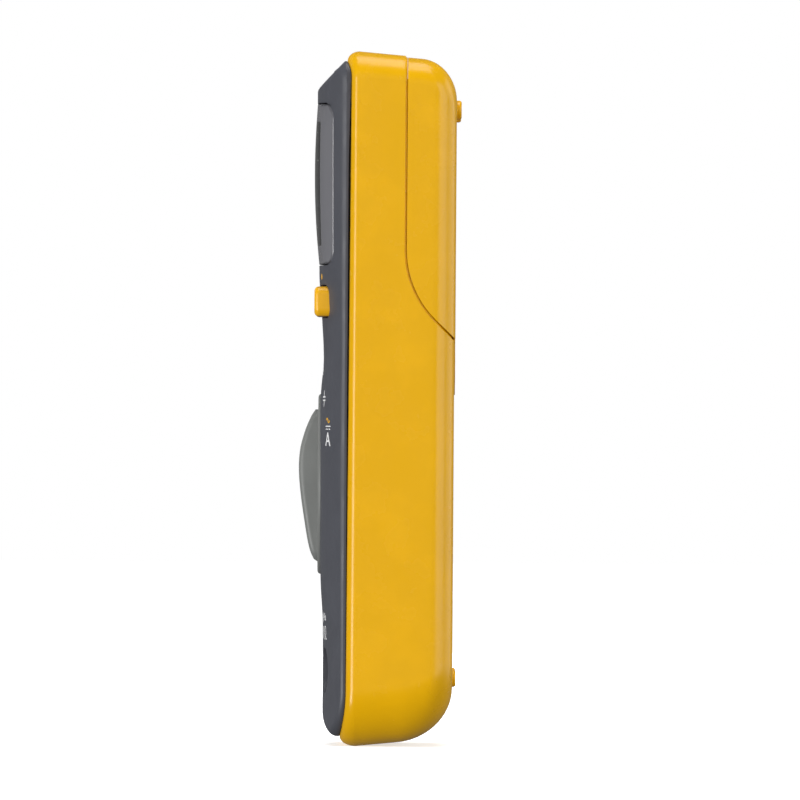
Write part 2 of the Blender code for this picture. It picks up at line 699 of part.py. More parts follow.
def make_buttons():
    for name, x in BUTTON_X.items():
        bm = bmesh.new()
        rings = [flat_ring(button_outline(x, FLANGE_REACH), BUTTON_FLANGE[1]),
                 flat_ring(button_outline(x, FLANGE_REACH), BUTTON_FLANGE[0]),
                 flat_ring(button_outline(x, 0.0), BUTTON_FLANGE[0])]
        for turn in (0.0, 30.0, 60.0, 90.0):
            a = math.radians(turn)
            rings.append(flat_ring(button_outline(x, 0.0, BUTTON_EDGE * (1.0 - math.cos(a))),
                                   BUTTON_FRONT + BUTTON_EDGE * (1.0 - math.sin(a))))
        loft(bm, rings)
        colour = (0.75, 0.33, 0.01) if name == "button_function" else (0.16, 0.17, 0.18)
        piece(name, bm, colour, 0.45, 0.0, (x, BUTTON_FRONT, BUTTON_Z))
    bm = bmesh.new()
    add_plate(bm, rounded_outline(27.6, BUTTON_Z - 4.6, BUTTON_Z + 4.6, 1.5, 1.5, 3), 0.5, 1.4)
    membrane = piece("keypad_membrane", bm, (0.3, 0.3, 0.32), 0.7)
    bm = bmesh.new()
    for x in BUTTON_X.values():
        add_turned(bm, x, BUTTON_Z, [(3.0, 1.2), (2.6, 2.8), (1.4, 3.6)], sides=12)
    combine(membrane, cutter("add_domes", bm), "UNION")


# ---- Selector --------------------------------------------------------------------------------------
def grip_half_at(u):
    """Half width of the grip at distance u above the selector's axis; both ends are rounded."""
    top, bottom, nose = GRIP_LINE[-1][0], GRIP_LINE[0][0], 3.0
    width = GRIP_HALF - 0.03 * (u - bottom)
    short = nose - min(top - u, u - bottom)
    return width if short <= 0.0 else width - nose + math.sqrt(max(nose ** 2 - short ** 2, 0.0))


def grip_section(u):
    """Section of the grip at u: sloping sides, and a crest with rounded shoulders."""
    half, crest = grip_half_at(u), -smooth_through(GRIP_LINE, u)
    base = KNOB_FRONT + 1.0
    rise = max(base - crest, 1.4)
    shoulder = min(1.1, rise * 0.4)
    right = [(half, base), (half * 0.93, crest + shoulder), (half * 0.93 - 0.32, crest + shoulder * 0.4),
             (half * 0.93 - 1.0, crest)]
    left = [(-x, d) for x, d in reversed(right)]
    return [(x, d, KNOB_Z + u) for x, d in right + left]


def make_selector():
    axis = (0.0, KNOB_FRONT, KNOB_Z)
    bm = bmesh.new()
    add_turned(bm, 0.0, KNOB_Z, [(SHAFT_R, 2.6), (SHAFT_R, 0.1), (HUB_R, 0.1), (HUB_R, KNOB_REAR),
                                 (KNOB_R, KNOB_REAR), (KNOB_R, KNOB_FRONT + 0.6),
                                 (KNOB_R - 0.2, KNOB_FRONT + 0.2), (KNOB_R - 0.7, KNOB_FRONT),
                                 (KNOB_R - 2.2, KNOB_FRONT), (KNOB_R - 2.7, KNOB_FRONT + 0.3)], sides=40)
    knob = piece("function_knob", bm, (0.17, 0.175, 0.165), 0.5, 0.0, axis)
    low, high = GRIP_LINE[0][0], GRIP_LINE[-1][0]
    ends = [0.0, 0.25, 0.9, 1.9, 3.0]
    middle = [low + 3.0 + (high - low - 6.0) * i / 11 for i in range(1, 11)]
    stations = [low + e for e in ends] + middle + [high - e for e in reversed(ends)]
    bm = bmesh.new()
    loft(bm, [grip_section(u) for u in stations])
    combine(knob, cutter("add_grip", bm), "UNION", "MANIFOLD")
    bm = bmesh.new()
    add_box(bm, -0.75, 0.75, -15.0, KNOB_FRONT - 1.2, KNOB_Z + 9.4, KNOB_Z + 13.1)
    combine(knob, cutter("cut_pointer_slot", bm), "DIFFERENCE", "MANIFOLD")

    bm = bmesh.new()
    corners = [(-0.45, 9.7), (0.45, 9.7), (0.45, 12.8), (-0.45, 12.8)]
    rings = [[(x, KNOB_FRONT - 1.5, KNOB_Z + u) for x, u in corners],
             [(x, -smooth_through(GRIP_LINE, u), KNOB_Z + u) for x, u in corners]]
    loft(bm, rings)
    piece("knob_pointer", bm, (0.85, 0.85, 0.85), 0.5, 0.0, axis)

    bm = bmesh.new()
    profile = [(SHAFT_R + GAP, 0.4), (ROTOR_R, 0.4), (ROTOR_R, 1.4), (8.0, 2.3), (SHAFT_R + GAP, 2.3)]
    add_turned(bm, 0.0, KNOB_Z, profile, sides=32, closed=True)
    piece("switch_rotor", bm, (0.75, 0.73, 0.66), 0.5, 0.0, axis)
    for i in range(3):
        turn = Matrix.Rotation(math.radians(120.0 * i + 30.0), 4, "Y")
        bm = bmesh.new()
        add_box(bm, 6.0, 10.5, 2.6, 3.0, -1.2, 1.2)
        set_on_axis(bm, turn)
        piece("switch_wiper_%d" % (i + 1), bm, (0.8, 0.5, 0.25), 0.3, 1.0, axis)

    bm = bmesh.new()
    sides = DETENT_STEPS * 2
    teeth = []
    for i in range(sides):
        a = 2.0 * math.pi * i / sides
        radius = 14.0 + (0.35, -0.35)[i % 2]
        teeth.append((radius * math.cos(a), KNOB_Z + radius * math.sin(a), 0.0, 0.0))
    round_edge = [(16.3 * math.cos(2.0 * math.pi * i / sides),
                   KNOB_Z + 16.3 * math.sin(2.0 * math.pi * i / sides), 0.0, 0.0) for i in range(sides)]
    add_frame(bm, round_edge, teeth, 0.3, 2.0)
    piece("detent_ring", bm, (0.8, 0.78, 0.7), 0.5)


def set_on_axis(bm, turn):
    """Turns what the mesh holds about the depth axis and sets it on the selector's axis."""
    for v in bm.verts:
        v.co = turn @ v.co + Vector((0.0, 0.0, KNOB_Z))


# ---- Input jacks -----------------------------------------------------------------------------------
def make_jacks():
    for use, x in zip(("current", "common", "volts"), JACK_X):
        profile = [(CONTACT_R + GAP, TUBE_END), (TUBE_R, TUBE_END), (TUBE_R, 0.0), (WELL_R, 0.0),
                   (WELL_R, WELL_FLOOR), (CONTACT_R + GAP, WELL_FLOOR)]
        bm = bmesh.new()
        add_turned(bm, x, JACK_Z, profile, sides=22, closed=True)
        colour = (0.02, 0.02, 0.02) if use == "common" else (0.35, 0.02, 0.015)
        piece("jack_liner_" + use, bm, colour, 0.4)
        name = "jack_contact_" + use
        bm = bmesh.new()
        add_turned(bm, x, JACK_Z, [(CONTACT_BORE, 16.5), (CONTACT_BORE, CONTACT_FRONT + 0.5),
                                   (CONTACT_BORE + 0.4, CONTACT_FRONT), (CONTACT_R - 0.3, CONTACT_FRONT),
                                   (CONTACT_R, CONTACT_FRONT + 0.4), (CONTACT_R, CONTACT_END)], sides=20)
        contact = piece(name, bm, (0.78, 0.58, 0.25), 0.3, 1.0)
        side = [(17.9, JACK_Z - 2.5), (18.9, JACK_Z - 2.5), (18.9, BOARD_LOW + 3.4), (5.9, BOARD_LOW + 3.4),
                (5.9, BOARD_LOW + 2.4), (17.9, BOARD_LOW + 2.4)]
        bm = bmesh.new()
        loft(bm, [[(x + half, d, z) for d, z in side] for half in (-1.5, 1.5)])
        combine(contact, cutter("add_strap_" + name, bm), "UNION")


# ---- Boards, switches and fuse ---------------------------------------------------------------------
def make_board():
    bm = bmesh.new()
    add_plate(bm, rounded_outline(BOARD_HALF, BOARD_LOW, BOARD_HIGH, 3.0, 3.0, 4), BOARD_FRONT, BOARD_BACK)
    board = piece("main_board", bm, (0.03, 0.22, 0.09), 0.4)
    bm = bmesh.new()
    for x in (-SCREW_X, SCREW_X):
        for z in SCREW_Z:
            add_turned(bm, x, z, [(BOSS_R + 0.5, 0.0), (BOSS_R + 0.5, 9.0)], sides=16)
    combine(board, cutter("cut_board_holes", bm))

    rear = BOARD_BACK + GAP
    bm = bmesh.new()
    add_plate(bm, rounded_outline(6.0, 57.0, 69.0, 0.6, 0.6, 1), rear, rear + 1.6)
    piece("meter_chip", bm, (0.03, 0.03, 0.03), 0.5)
    bm = bmesh.new()
    add_turned(bm, -18.0, 58.0, [(6.0, rear), (6.0, rear + 3.0), (1.2, rear + 3.0), (1.2, rear + 2.0)],
               sides=28)
    piece("buzzer", bm, (0.05, 0.05, 0.05), 0.5)
    bm = bmesh.new()
    add_turned(bm, 17.0, 50.0, [(3.6, rear), (4.0, rear + 0.6), (4.0, rear + 2.2), (3.4, rear + 2.8)],
               sides=20)
    piece("ptc_thermistor", bm, (0.75, 0.35, 0.05), 0.5)


def make_fuse():
    fuse_z, fuse_d, fuse_half = 40.0, 9.6, 10.0
    bm = bmesh.new()
    rings = []
    for x, radius in ((-fuse_half, 2.6), (-fuse_half + 4.5, 2.6), (-fuse_half + 4.5, 2.35),
                      (fuse_half - 4.5, 2.35), (fuse_half - 4.5, 2.6), (fuse_half, 2.6)):
        ring = circle(fuse_d, fuse_z, radius, x, 16)
        rings.append([(x, a, b) for a, x, b in ring])
    loft(bm, rings)
    piece("fuse", bm, (0.85, 0.83, 0.78), 0.4)
    for name, x in (("fuse_clip_left", -fuse_half + 2.2), ("fuse_clip_right", fuse_half - 2.2)):
        bm = bmesh.new()
        inner, outer = 2.9, 3.3
        outline = []
        for radius, turns in ((outer, range(-60, 241, 30)), (inner, range(240, -61, -30))):
            for turn in turns:
                a = math.radians(turn + 180.0)
                outline.append((fuse_d + radius * math.sin(a), fuse_z + radius * math.cos(a)))
        loft(bm, [[(x + half, d, z) for d, z in outline] for half in (-1.5, 1.5)])
        piece(name, bm, (0.7, 0.7, 0.68), 0.3, 1.0)


# ---- Batteries -------------------------------------------------------------------------------------
def along_z(x, profile, sides):
    """Rings about a vertical line through a cell; profile is (radius, z)."""
    turn = 2.0 * math.pi / sides
    return [[(x + r * math.cos(i * turn), CELL_D + r * math.sin(i * turn), z) for i in range(sides)]
            for r, z in profile]


def make_batteries():
    half = CELL_LONG / 2.0
    for name, x, up in (("battery_cell_left", -CELL_X, 1.0), ("battery_cell_right", CELL_X, -1.0)):
        profile = [(CELL_R - 0.4, -half), (CELL_R, -half + 0.4), (CELL_R, half - 1.2),
                   (CELL_R - 0.5, half - 0.8), (1.9, half - 0.8), (1.9, half)]
        middle = (BAY_LOW + BAY_HIGH) / 2.0 + up * CELL_SHIFT
        bm = bmesh.new()
        loft(bm, along_z(x, [(r, middle + up * z) for r, z in profile], 20))
        piece(name, bm, (0.12, 0.12, 0.14), 0.35, 0.3)
        spring_end = middle - up * (half + GAP)
        bay_end = BAY_LOW + GAP if up > 0 else BAY_HIGH - GAP
        make_spring(name.replace("cell", "spring"), x, spring_end, bay_end)
        z0 = BAY_HIGH - 0.6 if up > 0 else BAY_LOW + 0.3
        bm = bmesh.new()
        add_box(bm, x - 4.0, x + 4.0, CELL_D - 4.0, CELL_D + 3.0, z0, z0 + 0.3)
        piece(name.replace("cell", "plate"), bm, (0.7, 0.7, 0.7), 0.3, 1.0)


def make_spring(name, x, near, far):
    """A cone of wire that pushes on a cell: its wide turn stands on the bay's end."""
    wire, turns, steps = 0.3, 2.5, 10
    near, far = near + math.copysign(wire, far - near), far - math.copysign(wire, far - near)
    count = int(turns * steps)
    curve = bpy.data.curves.new(name, "CURVE")
    curve.dimensions = "3D"
    curve.bevel_depth = wire * MM
    curve.bevel_resolution = 1
    curve.use_fill_caps = True
    line = curve.splines.new("POLY")
    line.points.add(count)
    for i in range(count + 1):
        t = i / count
        a = 2.0 * math.pi * turns * t
        radius = 2.2 + 1.6 * t
        at = to_metres(x + radius * math.cos(a), CELL_D + radius * math.sin(a), near + (far - near) * t)
        line.points[i].co = (*at, 1.0)
    curve.materials.append(material(name, (0.7, 0.7, 0.7), 0.3, 1.0))
    obj = bpy.data.objects.new(name, curve)
    bpy.context.scene.collection.objects.link(obj)


# ---- Seal and screws -------------------------------------------------------------------------------
def make_seal():
    inner = TONGUE_RING[0] + GAP
    outer = inner + SEAL_WIDE
    inset_out, inset_in = WIDTH / 2.0 - outer, WIDTH / 2.0 - inner
    bm = bmesh.new()
    add_frame(bm, rounded_outline(outer, inset_out, LENGTH - inset_out, *SEAL_CORNERS[0]),
              rounded_outline(inner, inset_in, LENGTH - inset_in, *SEAL_CORNERS[1]), *SEAL_DEPTHS)
    piece("case_seal", bm, (0.03, 0.03, 0.03), 0.7)


def make_case_screws():
    spots = [(x, z) for z in SCREW_Z for x in (-SCREW_X, SCREW_X)]
    for i, (x, z) in enumerate(spots):
        bm = bmesh.new()
        add_turned(bm, x, z, [(0.6, 2.2), (1.25, 3.6), (1.25, HEAD_SEAT + 0.3), (2.6, HEAD_SEAT + 0.3),
                              (2.6, HEAD_SEAT + 1.5), (2.1, HEAD_SEAT + 2.0)], sides=12)
        screw = piece("case_screw_%d" % (i + 1), bm, (0.55, 0.55, 0.57), 0.35, 1.0)
        bm = bmesh.new()
        add_box(bm, x - 1.6, x + 1.6, HEAD_SEAT + 1.2, 30.0, z - 0.35, z + 0.35)
        combine(screw, cutter("cut_slot_%d" % (i + 1), bm))


def main():
    for obj in list(bpy.data.objects):
        bpy.data.objects.remove(obj)
    make_rear_case()
    make_battery_door()
    make_door_fastener()
    make_front_case()
    make_display()
    make_buttons()
    make_selector()
    make_jacks()
    make_board()
    make_fuse()
    make_batteries()
    make_seal()
    make_case_screws()


main()
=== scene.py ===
"""Visual model of the pocket multimeter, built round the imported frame.

A point is written (x, d, z) in millimetres: x to the user's right, z up, and d the depth behind the line
on which the front case meets the rear case. to_metres() turns it into the frame's metres.
"""
import json
import math

import bmesh
import bpy
from mathutils import Matrix, Vector


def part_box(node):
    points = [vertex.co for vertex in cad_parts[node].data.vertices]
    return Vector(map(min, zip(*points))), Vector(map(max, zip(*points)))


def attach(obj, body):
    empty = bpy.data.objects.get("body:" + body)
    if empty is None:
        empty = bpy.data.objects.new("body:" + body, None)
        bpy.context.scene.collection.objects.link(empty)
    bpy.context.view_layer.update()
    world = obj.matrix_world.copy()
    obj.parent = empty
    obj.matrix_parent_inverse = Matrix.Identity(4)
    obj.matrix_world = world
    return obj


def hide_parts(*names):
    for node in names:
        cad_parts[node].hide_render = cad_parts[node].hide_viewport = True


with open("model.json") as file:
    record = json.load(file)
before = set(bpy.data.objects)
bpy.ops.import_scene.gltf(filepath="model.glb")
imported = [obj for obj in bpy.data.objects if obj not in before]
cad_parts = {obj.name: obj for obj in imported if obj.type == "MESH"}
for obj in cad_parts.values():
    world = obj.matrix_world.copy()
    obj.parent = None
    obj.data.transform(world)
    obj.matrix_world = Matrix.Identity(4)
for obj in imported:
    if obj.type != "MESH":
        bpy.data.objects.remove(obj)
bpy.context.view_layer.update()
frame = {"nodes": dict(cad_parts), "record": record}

MM = 0.001
AHEAD, BEHIND = -15.0, 40.0   # depths well clear of the meter, to which openings are cut
EDGE_BREAK = 0.12             # how much the shells' sharp edges are rounded


def box_mm(node):
    lo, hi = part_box(node)
    return [c / MM for c in lo], [c / MM for c in hi]


def centre_mm(node):
    lo, hi = box_mm(node)
    return [(a + b) / 2.0 for a, b in zip(lo, hi)]


# ---- What the frame says -----------------------------------------------------------------------------
BODY_OF = {node: body for body, nodes in frame["record"]["behaviour"]["bodies"].items() for node in nodes}
SLOT_OF = {part["node"]: part["material_slot"] for part in frame["record"]["subparts"]}
GRIP_CREST = 10.0
Y_SHIFT = box_mm("function_knob")[0][1] + GRIP_CREST
LENGTH = box_mm("rear_case")[1][2]
WIDTH = 2.0 * box_mm("rear_case")[1][0]
KNOB_Z = centre_mm("switch_rotor")[2]
BUTTONS = ("button_hold", "button_range", "button_light", "button_function")
BUTTON_X = {name: centre_mm(name)[0] for name in BUTTONS}
BUTTON_Z = centre_mm("button_hold")[2]
JACKS = ("current", "common", "volts")
JACK_X = {use: centre_mm("jack_liner_" + use)[0] for use in JACKS}
JACK_Z = centre_mm("jack_liner_common")[2]
JACKS_AT = [(x, JACK_Z) for x in JACK_X.values()]
SCREWS = [(centre_mm("case_screw_%d" % i)[0], centre_mm("case_screw_%d" % i)[2]) for i in (1, 2, 3, 4)]
FASTENER_Z = centre_mm("door_fastener")[2]
LENS_LOW = box_mm("display_lens")[0][2]
LENS_HIGH = box_mm("display_lens")[1][2]
LENS_HALF = box_mm("display_lens")[1][0]
LCD_FRONT = box_mm("lcd_panel")[0][1] - Y_SHIFT

# ---- Rear case and door ------------------------------------------------------------------------------
CASE_BACK = 21.75
EDGE_INSET = 2.0
EDGE_DEPTH = 2.0
TOP_DRAFT = math.radians(5.0)
BOTTOM_DRAFT = math.radians(5.5)
SIDE_DRAFT = math.radians(1.5)
CORNER_LOW = 11.5
CORNER_HIGH = 5.5
LOW_ROUND = (11.0, 10.0)
HIGH_ROUND = (7.0, 8.0)
SIDE_ROUND = (5.0, 5.0)
LIP_LOW = 1.2
LIP_HIGH = 0.45
TOP_SWEEP = 0.6
SWEEP_FROM = 116.0
WALL = 2.0
CAVITY_INSET = 2.9
CORNER_STEPS = 14
SEAM_D = 11.9
SEAM_BEND_Z = 101.5
SEAM_RADIUS = 20.0
SEAM_TURN = math.radians(46.0)
SEAM_GAP = 0.4
SEAM_SHOW = 0.3            # depth of the visible seam, below which the case laps up to the door
SEAM_LAP = 0.06
DOOR_BACK = CASE_BACK + 0.2
DOOR_TOP_DROP = 0.3
TONGUE_HALF = 17.0
TONGUE_LOW = 71.9
TONGUE_FLOOR = 20.35
FOOT_X = 22.0
FOOT_HIGH_Z = 130.2
FOOT_LOW_Z = 13.9
FOOT_R = 1.95
FOOT_LOW_R = 1.7
FOOT_ROUND = 0.45
FOOT_ROOT = 1.9            # how deep a foot runs into the case
FOOT_TIP = 22.95
FOOT_LOW_TIP = CASE_BACK + 0.7
BAY_HALF = 12.0
BAY_LOW = 86.4
BAY_HIGH = 135.0
BAY_FLOOR = 8.3
BAY_RIM = 17.5
POST_R = 4.6
POST_END = 10.7
HEAD_SEAT = 15.0

# ---- Front case --------------------------------------------------------------------------------------
GAP = 0.3
FRONT_HALF = WIDTH / 2.0 - EDGE_INSET
FRONT_LOW = EDGE_INSET
FRONT_HIGH = LENGTH - EDGE_INSET
FRONT_CORNER_LOW = CORNER_LOW - EDGE_INSET
FRONT_CORNER_HIGH = CORNER_HIGH - EDGE_INSET
FRONT_WALL = 1.8
SIDE_RISE = 1.0
CROWN = [(0, 4.87), (25, 4.88), (34, 5.38), (54, 5.6), (72, 5.53), (79, 4.98), (86, 5.3), (96, 5.97),
         (131, 6.55), (142, 6.5)]
CROWN_POWER = [(15.4, 3.8), (53.5, 6.0)]
PARTING_GAP = 0.05         # the visible joint between front and rear
TONGUE_RING = (30.0, 28.3)
SKIRT_DEPTH = 2.4
BOSS_R = 3.0
BOSS_END = 10.2
LENS_CORNER = 3.0
LENS_BULGE = 0.73
LENS_THICK = 1.6
WINDOW_HALF = 24.0
WINDOW_LOW = 101.5
WINDOW_HIGH = 128.5
BUTTON_WIDE = 9.8
BUTTON_TALL = 6.1
BUTTON_FRONT = -6.93
BUTTON_FLANGE = (-1.5, -0.7)
BUTTON_CORNER = 1.6
BUTTON_EDGE = 0.9
FLANGE_REACH = 0.7
KNOB_R = 18.5
KNOB_FRONT = -6.05
KNOB_REAR = -2.2
HUB_R = 4.8
SHAFT_R = 3.7
RECESS_R = KNOB_R + 0.4
RECESS_FLOOR = -1.9
CUP_R = RECESS_R + 1.8
GRIP_HALF = 4.3
GRIP_NOSE = 3.0
GRIP_LINE = [(-16.0, 5.95), (-15.4, 6.8), (-12.9, 7.8), (-7.3, 8.82), (-1.2, 9.68), (3.6, 10.0),
             (7.2, 9.73), (9.4, 9.22), (11.7, 8.48), (14.0, 7.46), (15.3, 6.65)]
WELL_R = 4.7
TUBE_R = 6.1
WELL_FLOOR = 16.0
TUBE_END = 17.5
CONTACT_FRONT = 0.4
CONTACT_R = 3.0
CONTACT_BORE = 2.1
CONTACT_END = 18.2
STRAP_Z = 28.9             # where each jack's strap meets the board


# ---- Small maths -------------------------------------------------------------------------------------
def smooth_through(points, t):
    """Value at t of a smooth curve through (position, value) points."""
    last = len(points) - 1
    t = min(max(t, points[0][0]), points[last][0])
    i = next(k for k in range(last) if t <= points[k + 1][0])
    (t0, v0), (t1, v1) = points[i], points[i + 1]

    def slope(k):
        if k in (0, last):
            k0, k1 = (0, 1) if k == 0 else (last - 1, last)
        else:
            k0, k1 = k - 1, k + 1
        return (points[k1][1] - points[k0][1]) / (points[k1][0] - points[k0][0])

    span = t1 - t0
    u = (t - t0) / span
    start = (1 + 2 * u) * (1 - u) ** 2 * v0 + u * (1 - u) ** 2 * span * slope(i)
    end = u * u * (3 - 2 * u) * v1 + u * u * (u - 1) * span * slope(i + 1)
    return start + end


def smooth_min(a, b, soft):
    h = max(soft - abs(a - b), 0.0) / soft
    return min(a, b) - h * h * soft / 4.0


def arc_inset(d, back, depth, reach):
    t = min(max((d - back + depth) / depth, 0.0), 1.0)
    return reach * (1.0 - math.sqrt(1.0 - t * t))


def to_metres(x, d, z):
    return Vector((x * MM, (d + Y_SHIFT) * MM, z * MM))


def quarter(steps):
    """One minus the cosine, and one minus the sine, at even steps of a quarter turn."""
    turns = [math.radians(i * 90.0 / steps) for i in range(steps + 1)]
    return [(1.0 - math.cos(a), 1.0 - math.sin(a)) for a in turns]


def spread(first, last, step):
    count = max(round((last - first) / step), 1)
    return [first + (last - first) * i / count for i in range(count + 1)]


def rounded_half(full, corner, to_end):
    """Half width of a plate with round corners, at to_end from where the plate ends."""
    short = corner - to_end
    return full if short <= 0.0 else full - corner + math.sqrt(max(corner ** 2 - short ** 2, 0.0))


def rows_between(low, high, corner, turns, step):
    """Heights from low to high, placed round the corners at both ends and evenly between them."""
    ends = [corner * inset for inset, _ in quarter(turns)]
    middle = spread(low + corner, high - corner, step)[1:-1]
    return [low + e for e in ends] + middle + [high - e for e in reversed(ends)]


# ---- Meshes ------------------------------------------------------------------------------------------
def rounded_outline(half, low, high, r_low, r_high, steps=CORNER_STEPS):
    """Outline of a face with round corners, as (x, z, outward x, outward z), from the bottom middle."""
    right = [(0.0, low, 0.0, -1.0)]
    for centre_z, radius, first in ((low + r_low, r_low, -90.0), (high - r_high, r_high, 0.0)):
        for i in range(steps + 1):
            a = math.radians(first + 90.0 * i / steps)
            c, s = math.cos(a), math.sin(a)
            right.append((half - radius + radius * c, centre_z + radius * s, c, s))
    right.append((0.0, high, 0.0, 1.0))
    left = [(-x, z, -nx, nz) for x, z, nx, nz in reversed(right[1:-1])]
    return right + left


def flat_ring(outline, d):
    return [(p[0], d, p[1]) for p in outline]


def circle(x, z, radius, d, sides):
    turn = 2.0 * math.pi / sides
    return [(x + radius * math.cos(i * turn), d, z + radius * math.sin(i * turn)) for i in range(sides)]


def loft(bm, rings, closed=False):
    """Joins rings of points with quads; an open loft gets a face on each end."""
    made = [[bm.verts.new(p) for p in ring] for ring in rings]
    pairs = list(zip(made, made[1:]))
    if closed:
        pairs.append((made[-1], made[0]))
    else:
        bm.faces.new(made[0])
        bm.faces.new(made[-1])
    count = len(made[0])
    for a, b in pairs:
        for i in range(count):
            j = (i + 1) % count
            bm.faces.new((a[i], a[j], b[j], b[i]))


def add_box(bm, x0, x1, d0, d1, z0, z1):
    corners = [(x0, z0), (x1, z0), (x1, z1), (x0, z1)]
    loft(bm, [[(x, d, z) for x, z in corners] for d in (d0, d1)])


def add_turned(bm, x, z, profile, sides=64, closed=False):
    loft(bm, [circle(x, z, radius, d, sides) for radius, d in profile], closed)


def add_turned_at(bm, places, profile, sides):
    for x, z in places:
        add_turned(bm, x, z, profile, sides)


def add_plate(bm, outline, d0, d1):
    loft(bm, [flat_ring(outline, d0), flat_ring(outline, d1)])


def add_frame(bm, outer, inner, d0, d1):
    rings = [flat_ring(outer, d0), flat_ring(outer, d1), flat_ring(inner, d1), flat_ring(inner, d0)]
    loft(bm, rings, closed=True)


def add_surface_solid(bm, half_at, rows, columns, front, back):
    """A solid between two height functions over the same grid of (x, z) points."""
    def layer(height):
        return [[bm.verts.new((s * half_at(z), height(s * half_at(z), z), z)) for s in columns]
                for z in rows]

    near, far = layer(front), layer(back)
    last_row, last_column = len(rows) - 1, len(columns) - 1
    for grid in (near, far):
        for r in range(last_row):
            for c in range(last_column):
                bm.faces.new((grid[r][c], grid[r][c + 1], grid[r + 1][c + 1], grid[r + 1][c]))
    for r in range(last_row):
        for c in (0, last_column):
            bm.faces.new((near[r][c], near[r + 1][c], far[r + 1][c], far[r][c]))
    for c in range(last_column):
        for r in (0, last_row):
            bm.faces.new((near[r][c], near[r][c + 1], far[r][c + 1], far[r][c]))


cutters = []


def place(name, bm):
    """Makes an object, its origin at the frame's origin, of a mesh built in (x, d, z)."""
    bmesh.ops.recalc_face_normals(bm, faces=bm.faces)
    for v in bm.verts:
        v.co = to_metres(*v.co)
    if bm.calc_volume(signed=True) < 0.0:
        bmesh.ops.reverse_faces(bm, faces=bm.faces)
    mesh = bpy.data.meshes.new(name)
    bm.to_mesh(mesh)
    bm.free()
    obj = bpy.data.objects.new(name, mesh)
    bpy.context.scene.collection.objects.link(obj)
    return obj


def shape(build, *args, **settings):
    """A mesh filled by one of the functions that add to a mesh."""
    bm = bmesh.new()
    build(bm, *args, **settings)
    return bm


def cutter(name, build, *args, **settings):
    obj = place(name, shape(build, *args, **settings))
    cutters.append(obj)
    return obj


def combine(target, tool, operation="DIFFERENCE", solver="EXACT"):
    step = target.modifiers.new(tool.name, "BOOLEAN")
    step.operation = operation
    step.solver = solver
    step.object = tool


def settle(obj, bevel=0.0, sharp=32.0):
    """Applies the Booleans, cleans the mesh, rounds its sharp edges and sets its shading."""
    bpy.context.view_layer.update()
    done = obj.evaluated_get(bpy.context.evaluated_depsgraph_get())
    mesh = bpy.data.meshes.new_from_object(done)
    obj.modifiers.clear()
    obj.data = mesh
    bm = bmesh.new()
    bm.from_mesh(mesh)
    bmesh.ops.remove_doubles(bm, verts=bm.verts, dist=0.01 * MM)
    bmesh.ops.dissolve_degenerate(bm, edges=bm.edges, dist=0.01 * MM)
    if bevel:
        limit = math.radians(sharp)
        edges = [e for e in bm.edges if e.is_manifold and e.calc_face_angle(0.0) > limit]
        bmesh.ops.bevel(bm, geom=edges, offset=bevel * MM, segments=2, profile=0.5, affect="EDGES",
                        clamp_overlap=False)
        bmesh.ops.remove_doubles(bm, verts=bm.verts, dist=0.005 * MM)
    bm.to_mesh(mesh)
    bm.free()
    mesh.shade_smooth()
    mesh.set_sharp_from_angle(angle=math.radians(sharp))
    weighted = obj.modifiers.new("even_shading", "WEIGHTED_NORMAL")
    weighted.keep_sharp = True
    weighted.weight = 80
    return obj


def stand_in(obj, node):
    """A finer piece that is shown in place of one CAD node, on the same body and with the same slot."""
    obj.data.materials.clear()
    obj.data.materials.append(FINISH[SLOT_OF[node]])
    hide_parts(node)
    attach(obj, BODY_OF[node])


# ---- Rear case and battery door ----------------------------------------------------------------------
def shell_outline(d, wall=0.0, back=CASE_BACK, top_drop=0.0):
    """Outline of the yellow shell at depth d, or of a surface one wall inside it."""
    deep = max(d - EDGE_DEPTH, 0.0)
    end = back - wall
    side = arc_inset(d, end, SIDE_ROUND[0] - wall / 2, SIDE_ROUND[1] - wall / 2) + wall
    low = arc_inset(d, end, LOW_ROUND[0] - wall / 2, LOW_ROUND[1] - wall / 2) + wall
    high = arc_inset(d, end, HIGH_ROUND[0] - wall / 2, HIGH_ROUND[1] - wall / 2) + wall + top_drop
    half = WIDTH / 2.0 - math.tan(SIDE_DRAFT) * deep - side
    bottom = math.tan(BOTTOM_DRAFT) * deep + low
    top = LENGTH - math.tan(TOP_DRAFT) * deep - high
    if wall >= WALL:
        half = min(half, WIDTH / 2.0 - CAVITY_INSET)
        bottom = max(bottom, CAVITY_INSET)
        top = min(top, LENGTH - CAVITY_INSET)
    return rounded_outline(half, bottom, top, CORNER_LOW - side, CORNER_HIGH - side / 2)


def round_depths(back, steps=20):
    """Depths at which the back round is sampled, closer together towards the back."""
    return [back - LOW_ROUND[0] * drop for _, drop in quarter(steps)]


def parting_line(nx, nz, z):
    """Depth of the parting line: it sweeps back at the top of the sides and comes forward at both ends."""
    sweep = TOP_SWEEP * min(max((z - SWEEP_FROM) / (LENGTH - SWEEP_FROM), 0.0), 1.0) ** 1.5
    return sweep * nx * nx - (LIP_LOW if nz < 0 else LIP_HIGH) * nz * nz


def edge_rings():
    """The rounded front edge, from inside the parting line out to the widest outline."""
    rings = []
    turns = [(deeper, EDGE_INSET * come_in) for deeper, come_in in quarter(10)[:-1]]
    for deeper, come_in in [(0.0, EDGE_INSET + 2.5)] + turns:
        outline = rounded_outline(WIDTH / 2 - come_in, come_in, LENGTH - come_in,
                                  CORNER_LOW - come_in, CORNER_HIGH - min(come_in, 4.0))
        ring = []
        for x, z, nx, nz in outline:
            front = parting_line(nx, nz, z)
            ring.append((x, front + (EDGE_DEPTH - front) * deeper, z))
        rings.append(ring)
    return rings


